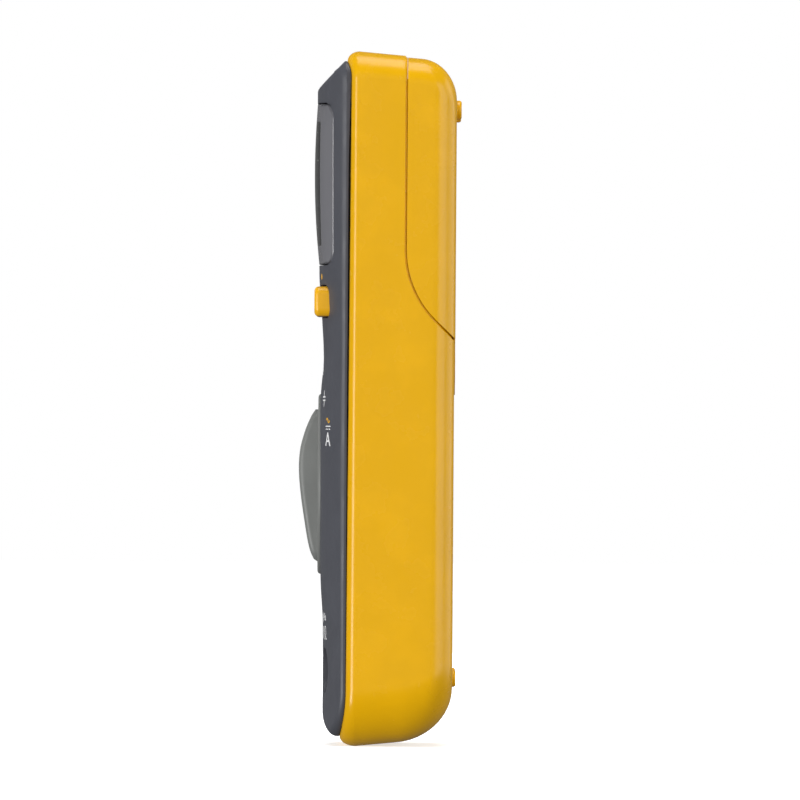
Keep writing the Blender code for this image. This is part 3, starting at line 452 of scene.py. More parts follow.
def shell_body(bm, back=CASE_BACK, top_drop=0.0):
    rings = edge_rings()
    for d in [EDGE_DEPTH] + round_depths(back):
        rings.append(flat_ring(shell_outline(d, 0.0, back, top_drop), d))
    loft(bm, rings)


def shell_cavity(bm, start, back=CASE_BACK, top_drop=0.0):
    depths = [start] + [d - WALL for d in round_depths(back)]
    loft(bm, [flat_ring(shell_outline(d, WALL, back, top_drop), d) for d in depths])


def door_prism(bm, offset):
    """The space behind the door's seam, its edge moved outward by offset, right across the meter."""
    centre_d = SEAM_D + SEAM_RADIUS
    radius = SEAM_RADIUS + offset
    above = LENGTH + 9.0
    profile = [(BEHIND, above), (SEAM_D - offset, above)]
    steps = 24
    for i in range(steps + 1):
        a = SEAM_TURN * i / steps
        profile.append((centre_d - radius * math.cos(a), SEAM_BEND_Z - radius * math.sin(a)))
    d, z = profile[-1]
    profile.append((BEHIND, z - (BEHIND - d) / math.tan(SEAM_TURN)))
    loft(bm, [[(x, d, z) for d, z in profile] for x in (-45.0, 45.0)])


def tongue_plate(bm, grow, floor):
    outline = rounded_outline(TONGUE_HALF + grow, TONGUE_LOW - grow, 95.0, 8.0 + grow, 2.0)
    add_plate(bm, outline, floor, BEHIND)


def add_feet(bm, z, tip, radius):
    """A pair of feet with rounded tips."""
    rounding = [(radius - FOOT_ROUND * inset, tip - FOOT_ROUND * drop) for inset, drop in quarter(4)]
    add_turned_at(bm, [(-FOOT_X, z), (FOOT_X, z)], [(radius, tip - FOOT_ROOT)] + rounding, 40)


def seam_core(bm):
    """The rear case's inner layer, which laps up to the door so that the seam isn't open."""
    depths = [4.0] + [d - 0.6 for d in round_depths(CASE_BACK)]
    loft(bm, [flat_ring(shell_outline(d, SEAM_SHOW), d) for d in depths])


def rear_bores(bm):
    """Holes for the case screws, with their heads' counterbores, and for the door's fastener."""
    add_turned_at(bm, SCREWS, [(1.75, 2.0), (1.75, HEAD_SEAT), (3.2, HEAD_SEAT), (3.2, BEHIND)], 32)
    add_turned(bm, 0.0, FASTENER_Z, [(2.1, 10.0), (2.1, BEHIND)], 32)


def make_rear_case():
    case = place("rear_shell", shape(shell_body))
    core = cutter("seam_core", seam_core)
    combine(core, cutter("cut_core", door_prism, SEAM_LAP))
    cavity = cutter("cut_rear_cavity", shell_cavity, -5.0)
    combine(cavity, cutter("keep_door_wall", door_prism, SEAM_GAP + WALL))
    combine(cavity, cutter("keep_bay", add_box, -BAY_HALF - 2.0, BAY_HALF + 2.0, BAY_FLOOR - 1.5, BEHIND,
                           BAY_LOW - 1.7, BAY_HIGH + 1.8))
    combine(cavity, cutter("keep_tongue_wall", tongue_plate, 2.0, TONGUE_FLOOR - 2.6))
    combine(cavity, cutter("keep_posts", add_turned_at, SCREWS, [(POST_R, POST_END), (POST_R, BEHIND)], 32))

    combine(case, cutter("cut_door_opening", door_prism, SEAM_GAP))
    combine(case, core, "UNION")
    combine(case, cutter("cut_tongue_recess", tongue_plate, SEAM_GAP, TONGUE_FLOOR - 0.35))
    combine(case, cavity)
    combine(case, cutter("add_bay_walls", add_box, -BAY_HALF - 1.8, BAY_HALF + 1.8, BAY_FLOOR - 1.1,
                         BAY_RIM, BAY_LOW - 1.5, BAY_HIGH + 1.6), "UNION")
    combine(case, cutter("cut_bay", add_box, -BAY_HALF, BAY_HALF, BAY_FLOOR, BEHIND, BAY_LOW, BAY_HIGH))
    combine(case, cutter("cut_screw_bores", rear_bores))
    combine(case, cutter("add_lower_feet", add_feet, FOOT_LOW_Z, FOOT_LOW_TIP, FOOT_LOW_R),
            "UNION", "MANIFOLD")
    stand_in(settle(case, EDGE_BREAK), "rear_case")


def make_battery_door():
    door = place("door_shell", shape(shell_body, DOOR_BACK, DOOR_TOP_DROP))
    region = cutter("door_region", door_prism, 0.0)
    combine(region, cutter("add_tongue", tongue_plate, 0.0, TONGUE_FLOOR), "UNION")
    combine(door, region, "INTERSECT")
    hollow = cutter("cut_door_hollow", shell_cavity, 3.0, DOOR_BACK, DOOR_TOP_DROP)
    combine(hollow, cutter("keep_tongue", tongue_plate, 5.0, TONGUE_FLOOR - 1.1))
    combine(door, hollow)
    bore = [(2.1, 10.0), (2.1, 21.0), (3.9, 21.0), (3.9, BEHIND)]
    combine(door, cutter("cut_fastener_hole", add_turned, 0.0, FASTENER_Z, bore, 48))
    combine(door, cutter("add_upper_feet", add_feet, FOOT_HIGH_Z, FOOT_TIP, FOOT_R), "UNION")
    stand_in(settle(door, EDGE_BREAK), "battery_door")


def make_door_fastener():
    profile = [(1.7, 18.4), (1.7, 21.3), (3.5, 21.3), (3.5, 21.75), (3.42, 21.9), (3.2, 22.0)]
    fastener = place("fastener_head", shape(add_turned, 0.0, FASTENER_Z, profile))
    combine(fastener, cutter("cut_fastener_slot", add_box, -5.0, 5.0, 21.55, 24.0,
                             FASTENER_Z - 0.5, FASTENER_Z + 0.5))
    stand_in(settle(fastener), "door_fastener")


# ---- Front case --------------------------------------------------------------------------------------
def front_half_at(z):
    """Half width of the front case at height z."""
    if z < LENGTH / 2.0:
        return rounded_half(FRONT_HALF, FRONT_CORNER_LOW, z - FRONT_LOW)
    return rounded_half(FRONT_HALF, FRONT_CORNER_HIGH, FRONT_HIGH - z)


def edge_at(x, z):
    """Distance inside the front case's outline, and the way out to it as (outward x, outward z)."""
    lower = z < LENGTH / 2.0
    radius = FRONT_CORNER_LOW if lower else FRONT_CORNER_HIGH
    qx = abs(x) - (FRONT_HALF - radius)
    qz = FRONT_LOW + radius - z if lower else z - FRONT_HIGH + radius
    sign = -1.0 if lower else 1.0
    if qx > 0.0 and qz > 0.0:
        far = math.hypot(qx, qz)
        return radius - far, qx / far, sign * qz / far
    if qx > qz:
        return radius - qx, 1.0, 0.0
    return radius - qz, 0.0, sign


def crown(x, z):
    """Height of the front above the parting line, without its edges."""
    middle = smooth_through(CROWN, z)
    power = smooth_through(CROWN_POWER, z)
    return middle - (middle - SIDE_RISE) * (abs(x) / FRONT_HALF) ** power


def front_surface(x, z):
    inside, nx, nz = edge_at(x, z)
    inside = max(inside, 0.0)
    side = 0.55 + 2.2 * inside
    if nz < 0.0:
        end = 1.75 + 3.3 * math.sqrt(1.0 - (1.0 - min(inside / 6.4, 1.0)) ** 2)
    else:
        end = 0.98 + 0.97 * inside
    rim = side * nx * nx + end * nz * nz
    return -smooth_min(crown(x, z), rim, 0.35)


def front_underside(x, z):
    """Rear face of the front case: it follows the parting line at the edge and is flat further in."""
    inside, nx, nz = edge_at(x, z)
    near_edge = min(max(1.0 - (inside - 1.5) / 2.0, 0.0), 1.0)
    return parting_line(nx, nz, z) * near_edge - PARTING_GAP - (GAP - PARTING_GAP) * (1.0 - near_edge)


def front_grid():
    """Rows and columns of the front's mesh, close together where its edges are rounded."""
    edge = (0.0, 0.05, 0.1, 0.16, 0.23, 0.32, 0.45, 0.7, 1.0, 1.4, 1.9)
    side = [1.0 - inside / FRONT_HALF for inside in edge]
    inner = spread(0.0, side[-1], 0.85 / FRONT_HALF)[:-1]
    right = inner + list(reversed(side))
    columns = [-s for s in reversed(right[1:])] + right
    low = [FRONT_LOW + FRONT_CORNER_LOW * inset for inset, _ in quarter(18)]
    chamfer = (0.0, 0.12, 0.3, 0.6, 1.0, 1.5, 2.1, 2.8, 3.5, 4.2, 4.8, 5.3, 5.7, 6.1, 6.6)
    high = [FRONT_HIGH - inside for inside in reversed(chamfer)]
    return low + spread(low[-1], high[0], 1.6)[1:-1] + high, columns


def front_skirt(bm):
    """The rim that drops into the rear case."""
    outer, inner = TONGUE_RING
    inset_out, inset_in = WIDTH / 2.0 - outer, WIDTH / 2.0 - inner
    add_frame(bm, rounded_outline(outer, inset_out, LENGTH - inset_out, 7.9, 2.9),
              rounded_outline(inner, inset_in, LENGTH - inset_in, 6.2, 1.3), -1.1, SKIRT_DEPTH)


def front_openings(bm):
    add_plate(bm, rounded_outline(WINDOW_HALF, WINDOW_LOW, WINDOW_HIGH, 1.5, 1.5, 6), AHEAD, 3.0)
    for x in BUTTON_X.values():
        add_plate(bm, button_outline(x, GAP), AHEAD, 3.0)
    hub = HUB_R + 0.4
    add_turned(bm, 0.0, KNOB_Z, [(hub, 3.0), (hub, RECESS_FLOOR), (RECESS_R, RECESS_FLOOR),
                                 (RECESS_R, AHEAD)], 118)
    add_turned_at(bm, JACKS_AT, [(WELL_R, 3.0), (WELL_R, AHEAD)], 58)
    add_turned_at(bm, SCREWS, [(1.6, 0.5), (1.6, 20.0)], 24)


def make_front_case():
    rows, columns = front_grid()
    case = place("front_shell", shape(add_surface_solid, front_half_at, rows, columns,
                                      front_surface, front_underside))
    combine(case, front_cavity())
    combine(case, cutter("add_skirt", front_skirt), "UNION", "MANIFOLD")
    combine(case, cutter("add_bosses", add_turned_at, SCREWS, [(BOSS_R, -1.3), (BOSS_R, BOSS_END)], 24),
            "UNION", "MANIFOLD")
    combine(case, lens_pocket(), "DIFFERENCE", "MANIFOLD")
    combine(case, cutter("cut_front_openings", front_openings), "DIFFERENCE", "MANIFOLD")
    stand_in(settle(case, EDGE_BREAK), "front_case")


def around_openings(bm):
    """What stays solid behind the front: round the lens, the selector, the jacks and the screws."""
    add_box(bm, -LENS_HALF - 2.3, LENS_HALF + 2.3, AHEAD, 1.0, LENS_LOW - 2.0, LENS_HIGH + 2.0)
    add_turned(bm, 0.0, KNOB_Z, [(CUP_R, AHEAD), (CUP_R, 1.0)], 60)
    add_turned_at(bm, JACKS_AT, [(TUBE_R + 0.2, AHEAD), (TUBE_R + 0.2, 1.0)], 36)
    add_turned_at(bm, SCREWS, [(BOSS_R + 0.2, AHEAD), (BOSS_R + 0.2, 1.0)], 24)


def front_cavity():
    """The hollow under the front."""
    half = TONGUE_RING[1] + 0.3
    low, high = WIDTH / 2.0 - half, LENGTH - WIDTH / 2.0 + half
    corner = 5.3
    cavity = cutter("cut_front_cavity", add_surface_solid,
                    lambda z: rounded_half(half, corner, min(z - low, high - z)),
                    rows_between(low, high, corner, 3, 5.0), spread(-1.0, 1.0, 0.1),
                    lambda x, z: min(front_surface(x, z) + FRONT_WALL, -0.8), lambda x, z: 4.0)
    combine(cavity, cutter("keep_front_solid", around_openings))
    return cavity


# ---- Display lens ------------------------------------------------------------------------------------
def lens_half_at(z, grow):
    to_end = min(z - LENS_LOW + grow, LENS_HIGH + grow - z)
    return rounded_half(LENS_HALF + grow, LENS_CORNER + grow, to_end)


def lens_surface(x, z):
    middle, reach = (LENS_LOW + LENS_HIGH) / 2.0, (LENS_HIGH - LENS_LOW) / 2.0
    across = max(1.0 - (x / LENS_HALF) ** 2, 0.0)
    along = max(1.0 - ((z - middle) / reach) ** 2, 0.0)
    return -(crown(x, z) + LENS_BULGE * across * along)


def lens_grid(grow, turns=18):
    rows = rows_between(LENS_LOW - grow, LENS_HIGH + grow, LENS_CORNER + grow, turns, 1.4)
    columns = [math.sin(math.radians(i * 90.0 / turns)) for i in range(-turns, turns + 1)]
    return rows, columns


def lens_pocket():
    rows, columns = lens_grid(GAP, 9)
    return cutter("cut_lens_pocket", add_surface_solid, lambda z: lens_half_at(z, GAP), rows, columns,
                  lambda x, z: AHEAD, lambda x, z: lens_surface(x, z) + LENS_THICK + GAP)


def make_lens():
    rows, columns = lens_grid(0.0)
    lens = place("lens_moulding", shape(add_surface_solid, lambda z: lens_half_at(z, 0.0), rows, columns,
                                        lens_surface, lambda x, z: lens_surface(x, z) + LENS_THICK))
    stand_in(settle(lens, 0.3, 50.0), "display_lens")


# ---- Buttons -----------------------------------------------------------------------------------------
def button_outline(x, grow, inset=0.0):
    half_x, half_z = BUTTON_WIDE / 2 + grow - inset, BUTTON_TALL / 2 + grow - inset
    outline = rounded_outline(half_x, BUTTON_Z - half_z, BUTTON_Z + half_z,
                              BUTTON_CORNER + grow, BUTTON_CORNER + grow, 8)
    return [(x + px, pz, nx, nz) for px, pz, nx, nz in outline]


def make_buttons():
    for name, x in BUTTON_X.items():
        rings = [flat_ring(button_outline(x, FLANGE_REACH), BUTTON_FLANGE[1]),
                 flat_ring(button_outline(x, FLANGE_REACH), BUTTON_FLANGE[0]),
                 flat_ring(button_outline(x, 0.0), BUTTON_FLANGE[0])]
        for inset, drop in quarter(9):
            rings.append(flat_ring(button_outline(x, 0.0, BUTTON_EDGE * inset),
                                   BUTTON_FRONT + BUTTON_EDGE * drop))
        stand_in(settle(place(name + "_cap", shape(loft, rings)), 0.0, 40.0), name)


# ---- Selector ----------------------------------------------------------------------------------------
def grip_half_at(u):
    """Half width of the grip at distance u above the selector's axis; both ends are rounded."""
    top, bottom = GRIP_LINE[-1][0], GRIP_LINE[0][0]
    return rounded_half(GRIP_HALF - 0.03 * (u - bottom), GRIP_NOSE, min(top - u, u - bottom))


def grip_section(u):
    """Section of the grip at u: sloping sides, and a crest with rounded shoulders."""
    half, crest = grip_half_at(u), -smooth_through(GRIP_LINE, u)
    base = KNOB_FRONT + 1.0
    shoulder = min(1.1, max(base - crest, 1.4) * 0.4)
    top = half * 0.93
    right = [(half, base), (top + 0.03, crest + shoulder * 1.6)]
    right += [(top - inset, crest + shoulder * drop) for inset, drop in quarter(6)]
    left = [(-x, d) for x, d in reversed(right)]
    return [(x, d, KNOB_Z + u) for x, d in right + left]


def make_knob():
    rim = [(KNOB_R - 0.7 * inset, KNOB_FRONT + 0.6 * drop) for inset, drop in quarter(6)]
    profile = [(SHAFT_R, 2.6), (SHAFT_R, 0.1), (HUB_R, 0.1), (HUB_R, KNOB_REAR), (KNOB_R, KNOB_REAR)] + rim
    profile += [(KNOB_R - 2.2, KNOB_FRONT), (KNOB_R - 2.7, KNOB_FRONT + 0.3)]
    knob = place("knob_moulding", shape(add_turned, 0.0, KNOB_Z, profile, 120))
    low, high = GRIP_LINE[0][0], GRIP_LINE[-1][0]
    ends = [0.0, 0.08, 0.25, 0.55, 0.95, 1.4, 1.9, 2.4, GRIP_NOSE]
    stations = [low + e for e in ends] + spread(low + GRIP_NOSE, high - GRIP_NOSE, 0.9)[1:-1]
    stations += [high - e for e in reversed(ends)]
    combine(knob, cutter("add_grip", loft, [grip_section(u) for u in stations]), "UNION", "MANIFOLD")
    combine(knob, cutter("cut_pointer_slot", add_box, -0.75, 0.75, AHEAD, KNOB_FRONT - 1.2,
                         KNOB_Z + 9.4, KNOB_Z + 13.1), "DIFFERENCE", "MANIFOLD")
    stand_in(settle(knob, 0.0, 34.0), "function_knob")


# ---- Input jacks -------------------------------------------------------------------------------------
def make_jacks():
    sleeve = [(CONTACT_R + GAP, TUBE_END), (TUBE_R, TUBE_END), (TUBE_R, 0.0), (WELL_R, 0.0),
              (WELL_R, WELL_FLOOR), (CONTACT_R + GAP, WELL_FLOOR)]
    socket = [(CONTACT_BORE, 16.5), (CONTACT_BORE, CONTACT_FRONT + 0.5),
              (CONTACT_BORE + 0.18, CONTACT_FRONT + 0.18), (CONTACT_BORE + 0.4, CONTACT_FRONT),
              (CONTACT_R - 0.3, CONTACT_FRONT), (CONTACT_R - 0.08, CONTACT_FRONT + 0.12),
              (CONTACT_R, CONTACT_FRONT + 0.4), (CONTACT_R, CONTACT_END)]
    strap = [(17.9, JACK_Z - 2.5), (18.9, JACK_Z - 2.5), (18.9, STRAP_Z), (5.9, STRAP_Z),
             (5.9, STRAP_Z - 1.0), (17.9, STRAP_Z - 1.0)]
    for use, x in JACK_X.items():
        liner = place("jack_sleeve_" + use, shape(add_turned, x, JACK_Z, sleeve, closed=True))
        stand_in(settle(liner), "jack_liner_" + use)
        contact = place("jack_socket_" + use, shape(add_turned, x, JACK_Z, socket))
        rings = [[(x + half, d, z) for d, z in strap] for half in (-1.5, 1.5)]
        combine(contact, cutter("add_strap_" + use, loft, rings), "UNION")
        stand_in(settle(contact), "jack_contact_" + use)


def make_case_screws():
    head = HEAD_SEAT + 0.3
    profile = [(0.6, 2.2), (1.25, 3.6), (1.25, head), (2.6, head), (2.6, head + 1.1),
               (2.45, head + 1.45), (2.1, head + 1.7)]
    for i, (x, z) in enumerate(SCREWS, 1):
        screw = place("screw_head_%d" % i, shape(add_turned, x, z, profile, 48))
        combine(screw, cutter("cut_slot_%d" % i, add_box, x - 1.6, x + 1.6, head + 0.9, 30.0,
                              z - 0.35, z + 0.35))
        stand_in(settle(screw), "case_screw_%d" % i)


# ---- Materials ---------------------------------------------------------------------------------------
class Finish:
    """A Principled material whose pattern is fixed to the piece, with sizes given in millimetres."""

    def __init__(self, name, colour, rough, metallic=0.0, specular=0.5):
        self.material = bpy.data.materials.new(name)
        self.material.use_nodes = True
        self.tree = self.material.node_tree
        self.shader = self.tree.nodes["Principled BSDF"]
        self.colour = (*colour, 1.0)
        self.rough = rough
        self.set(self.shader, Metallic=metallic, Roughness=rough)
        self.shader.inputs["Base Color"].default_value = self.colour
        self.shader.inputs["Specular IOR Level"].default_value = specular
        self.place = self.add("ShaderNodeTexCoord").outputs["Object"]

    def add(self, kind, **settings):
        node = self.tree.nodes.new(kind)
        for key, value in settings.items():
            setattr(node, key, value)
        return node

    def set(self, node, **values):
        for key, value in values.items():
            node.inputs[key.replace("_", " ")].default_value = value

    def link(self, source, target):
        self.tree.links.new(source, target)

    def mapped(self, **settings):
        """The place on the piece, turned or stretched."""
        node = self.add("ShaderNodeMapping")
        self.set(node, **settings)
        self.link(self.place, node.inputs["Vector"])
        return node.outputs["Vector"]

    def along(self, axis):
        node = self.add("ShaderNodeSeparateXYZ")
        self.link(self.place, node.inputs["Vector"])
        return node.outputs[axis]

    def multiply(self, one, other):
        node = self.add("ShaderNodeMath", operation="MULTIPLY")
        self.link(one, node.inputs[0])
        self.link(other, node.inputs[1])
        return node.outputs["Value"]

    def noise(self, size, detail=2.0, stretch=None):
        """Noise whose lumps are about size millimetres across."""
        node = self.add("ShaderNodeTexNoise")
        self.set(node, Scale=1.0 / (size * MM), Detail=detail)
        self.link(self.mapped(Scale=stretch) if stretch else self.place, node.inputs["Vector"])
        return node.outputs["Fac"]

    def spread(self, source, low, high, start=0.3, end=0.7):
        node = self.add("ShaderNodeMapRange")
        self.set(node, From_Min=start, From_Max=end, To_Min=low, To_Max=high)
        self.link(source, node.inputs["Value"])
        return node.outputs["Result"]

    def tint(self, factor, other):
        """Mixes another colour into the base colour by a varying factor."""
        node = self.add("ShaderNodeMix", data_type="RGBA")
        base = self.shader.inputs["Base Color"]
        if base.is_linked:
            self.link(base.links[0].from_socket, node.inputs[6])
        else:
            node.inputs[6].default_value = self.colour
        node.inputs[7].default_value = (*other, 1.0)
        self.link(factor, node.inputs["Factor"])
        self.link(node.outputs[2], base)

    def mottle(self, size, share):
        """Lightens and darkens the colour in soft patches."""
        dark = [c * (1.0 - share) for c in self.colour[:3]]
        light = [min(c * (1.0 + share), 1.0) for c in self.colour[:3]]
        self.tint(self.spread(self.noise(size, 3.0), 0.0, 1.0, 0.35, 0.5), dark)
        self.tint(self.spread(self.noise(size * 0.6, 3.0), 0.0, 0.8, 0.5, 0.7), light)

    def smudge(self, size, share):
        self.link(self.spread(self.noise(size, 4.0), self.rough * (1.0 - share), self.rough * (1.0 + share)),
                  self.shader.inputs["Roughness"])

    def bump(self, source, depth):
        """Adds relief of depth millimetres."""
        node = self.add("ShaderNodeBump")
        self.set(node, Distance=depth * MM, Strength=1.0)
        self.link(source, node.inputs["Height"])
        normal = self.shader.inputs["Normal"]
        if normal.is_linked:
            self.link(normal.links[0].from_socket, node.inputs["Normal"])
        self.link(node.outputs["Normal"], normal)

    def worn_edges(self, lighter):
        """Lightens the outer edges a little, unevenly."""
        edge = self.add("ShaderNodeNewGeometry").outputs["Pointiness"]
        worn = self.spread(edge, 0.0, 0.35, 0.53, 0.6)
        self.tint(self.multiply(worn, self.spread(self.noise(1.2, 4.0), 0.3, 1.0)), lighter)

    def band(self, low, high, soft=0.05):
        """A mask that is 1 between two heights, in millimetres."""
        height = self.along("Z")
        rise = self.spread(height, 0.0, 1.0, (low - soft) * MM, low * MM)
        fall = self.spread(height, 1.0, 0.0, high * MM, (high + soft) * MM)
        return self.multiply(rise, fall)


def moulded(name, colour, rough, grain, depth, share=0.05, specular=0.5, edge=None):
    """Moulded plastic with a fine spark-eroded grain, faint colour patches and handling marks."""
    made = Finish(name, colour, rough, specular=specular)
    made.mottle(14.0, share)
    made.smudge(6.0, 0.14)
    made.bump(made.noise(grain, 3.0), depth)
    made.bump(made.noise(grain * 9.0, 2.0), depth * 1.5)
    if edge:
        made.worn_edges(edge)
    return made.material


def metal(name, colour, rough, stretch=(1.0, 1.0, 12.0)):
    """Plated or turned metal with fine drawing lines and slight tarnish."""
    made = Finish(name, colour, rough, metallic=1.0)
    made.mottle(2.0, 0.08)
    made.smudge(1.5, 0.3)
    made.bump(made.noise(0.5, 3.0, stretch), 0.004)
    return made.material


def circuit_board():
    made = Finish("board_laminate", (0.02, 0.13, 0.05), 0.38)
    tracks = made.add("ShaderNodeTexBrick")
    made.set(tracks, Scale=1.0, Mortar_Size=0.0003, Brick_Width=0.006, Row_Height=0.0016)
    made.link(made.mapped(Rotation=(math.radians(90.0), 0.0, 0.0)), tracks.inputs["Vector"])
    made.tint(made.spread(tracks.outputs["Fac"], 0.0, 0.6, 0.0, 1.0), (0.05, 0.26, 0.08))
    made.smudge(3.0, 0.2)
    made.bump(tracks.outputs["Fac"], 0.03)
    return made.material


def cell_jacket():
    """A cell's printed jacket: bare metal at both ends and a coloured band at one."""
    made = Finish("cell_jacket", (0.02, 0.02, 0.024), 0.3)
    low, high = box_mm("battery_cell_left")[0][2], box_mm("battery_cell_right")[1][2]
    made.tint(made.band(low - 1.0, low + 1.9), (0.55, 0.55, 0.56))
    made.tint(made.band(high - 1.9, high + 1.0), (0.55, 0.55, 0.56))
    middle = (low + high) / 2.0
    made.tint(made.band(middle + 7.0, middle + 16.0), (0.45, 0.17, 0.03))
    made.smudge(3.0, 0.2)
    made.bump(made.noise(0.6), 0.004)
    return made.material


def lens_plastic():
    """Hard-coated acrylic: clear over the window, backed by dark print round it."""
    made = Finish("lens_acrylic", (0.16, 0.16, 0.175), 0.2, specular=0.5)
    across = made.add("ShaderNodeMath", operation="ABSOLUTE")
    made.link(made.along("X"), across.inputs[0])
    edge = WINDOW_HALF * MM
    inside = made.spread(across.outputs["Value"], 1.0, 0.0, edge - 0.9 * MM, edge - 0.8 * MM)
    clear = made.multiply(inside, made.band(WINDOW_LOW + 0.8, WINDOW_HIGH - 0.8, 0.1))
    made.tint(clear, (0.93, 0.94, 0.95))
    made.link(clear, made.shader.inputs["Transmission Weight"])
    haze = made.add("ShaderNodeMath", operation="MULTIPLY_ADD")
    made.link(clear, haze.inputs[0])
    haze.inputs[1].default_value = -0.17
    made.link(made.spread(made.noise(9.0, 4.0), 0.18, 0.25), haze.inputs[2])
    made.link(haze.outputs["Value"], made.shader.inputs["Roughness"])
    return made.material


def display_glass():
    """Reflective liquid crystal panel: grey-green with a faint cell pattern."""
    made = Finish("display_glass", (0.62, 0.67, 0.57), 0.22)
    made.mottle(18.0, 0.05)
    made.smudge(5.0, 0.1)
    made.bump(made.noise(0.4), 0.002)
    return made.material


def make_finishes():
    yellow = (0.79, 0.418, 0.0)
    grey = (0.071, 0.074, 0.088)
    return {
        "yellow_shell": moulded("yellow_moulding", yellow, 0.26, 0.35, 0.008, 0.03, 0.34),
        "grey_shell": moulded("grey_moulding", grey, 0.5, 0.45, 0.02, 0.05, 0.45),
        "knob_plastic": moulded("knob_moulding", (0.2, 0.207, 0.199), 0.48, 0.3, 0.01, 0.05, 0.5,
                                (0.26, 0.26, 0.26)),
        "clear_lens": lens_plastic(),
        "orange_key": moulded("orange_key", (0.9, 0.46, 0.003), 0.36, 0.4, 0.005, 0.03),
        "grey_key": moulded("grey_key", (0.2, 0.21, 0.22), 0.42, 0.4, 0.006, 0.04),
        "white_mark": moulded("white_print", (0.82, 0.82, 0.82), 0.5, 0.2, 0.003, 0.03),
        "display_glass": display_glass(),
        "white_plastic": moulded("white_moulding", (0.75, 0.75, 0.73), 0.45, 0.4, 0.006),
        "elastomer": moulded("zebra_rubber", (0.55, 0.3, 0.33), 0.6, 0.3, 0.01),
        "grey_rubber": moulded("grey_rubber", (0.25, 0.25, 0.27), 0.7, 0.4, 0.01),
        "black_rubber": moulded("black_rubber", (0.02, 0.02, 0.02), 0.65, 0.4, 0.01),
        "black_liner": moulded("black_liner", (0.025, 0.025, 0.027), 0.4, 0.4, 0.006),
        "red_liner": moulded("red_liner", (0.3, 0.02, 0.014), 0.4, 0.4, 0.006),
        "board": circuit_board(),
        "black_part": moulded("black_epoxy", (0.02, 0.02, 0.021), 0.5, 0.2, 0.008),
        "orange_part": moulded("orange_epoxy", (0.7, 0.28, 0.03), 0.42, 0.5, 0.01),
        "plated_steel": metal("plated_steel", (0.62, 0.62, 0.6), 0.3),
        "brass": metal("brass", (0.72, 0.5, 0.2), 0.28),
        "ceramic": moulded("ceramic", (0.78, 0.75, 0.68), 0.35, 0.5, 0.005),
        "cell_jacket": cell_jacket(),
    }


FINISH = make_finishes()


# ---- Printed marks -----------------------------------------------------------------------------------
PRINT = 0.04               # how far print stands off the surface
LABEL_R = 28.7             # radius of the dial's ring of labels


class Marks:
    """Flat marks gathered as outlines in (x, z) and then laid on a curved surface as thin solids."""

    def __init__(self):
        self.bm = bmesh.new()

    def stroke(self, points, wide=0.28, step=0.8):
        """A line of even width through the points, cut up so that it can follow the surface."""
        for (x0, z0), (x1, z1) in zip(points, points[1:]):
            long = math.hypot(x1 - x0, z1 - z0)
            ux, uz = (x1 - x0) / long, (z1 - z0) / long
            x0, z0, x1, z1 = x0 - ux * wide / 2, z0 - uz * wide / 2, x1 + ux * wide / 2, z1 + uz * wide / 2
            sx, sz = -uz * wide / 2, ux * wide / 2
            stops = spread(0.0, 1.0, step / (long + wide))
            rows = [[self.bm.verts.new((x0 + (x1 - x0) * t + k * sx, 0.0, z0 + (z1 - z0) * t + k * sz))
                     for k in (-1, 1)] for t in stops]
            for a, b in zip(rows, rows[1:]):
                self.bm.faces.new((a[0], b[0], b[1], a[1]))

    def arc(self, x, z, radius, first, last, wide=0.28, step=15):
        count = max(int(abs(last - first) / step), 1)
        turns = [math.radians(first + (last - first) * i / count) for i in range(count + 1)]
        inner, outer = radius - wide / 2, radius + wide / 2
        rows = [[self.bm.verts.new((x + r * math.cos(a), 0.0, z + r * math.sin(a))) for r in (inner, outer)]
                for a in turns]
        for a, b in zip(rows, rows[1:]):
            self.bm.faces.new((a[0], b[0], b[1], a[1]))

    def text(self, words, x, z, tall):
        """Letters set upright, with their middle at (x, z)."""
        curve = bpy.data.curves.new("letters", "FONT")
        curve.body = words
        curve.size = tall * 1.4
        curve.align_x = "CENTER"
        curve.align_y = "CENTER"
        curve.resolution_u = 3
        holder = bpy.data.objects.new("letters", curve)
        bpy.context.scene.collection.objects.link(holder)
        bpy.context.view_layer.update()
        mesh = bpy.data.meshes.new_from_object(holder.evaluated_get(bpy.context.evaluated_depsgraph_get()))
        for v in mesh.vertices:
            v.co = (x + v.co.x, 0.0, z + v.co.y)
        self.bm.from_mesh(mesh)
        bpy.data.objects.remove(holder)
        bpy.data.curves.remove(curve)
        bpy.data.meshes.remove(mesh)

    def lay(self, name, surface, slot, body="housing", sink=0.06, stand=PRINT):
        """Turns the marks into thin closed solids that stand a little off the surface."""
        bm = self.bm
        bmesh.ops.remove_doubles(bm, verts=bm.verts, dist=0.002)
        bottom = list(bm.verts)
        made = bmesh.ops.extrude_face_region(bm, geom=list(bm.faces))
        top = [g for g in made["geom"] if isinstance(g, bmesh.types.BMVert)]
        for v in bottom:
            v.co.y = surface(v.co.x, v.co.z) + sink
        for v in top:
            v.co.y = surface(v.co.x, v.co.z) - stand
        obj = place(name, bm)
        obj.data.materials.append(FINISH[slot])
        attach(obj, body)


def on_dial(turn, radius, across=0.0):
    """A point beside the selector: turn degrees clockwise from straight up, across to the right of it."""
    a = math.radians(turn)
    return (radius * math.sin(a) + across * math.cos(a), KNOB_Z + radius * math.cos(a) - across * math.sin(a))


def omega(marks, x, z, size):
    r = size * 0.42
    marks.arc(x, z + size * 0.12, r, -50, 230, 0.26, 20)
    for side in (-1, 1):
        foot = z + size * 0.12 - r * math.sin(math.radians(50))
        near = r * math.cos(math.radians(50))
        marks.stroke([(x + side * near, foot), (x + side * near, z - size * 0.5),
                      (x + side * (near + size * 0.28), z - size * 0.5)], 0.26)


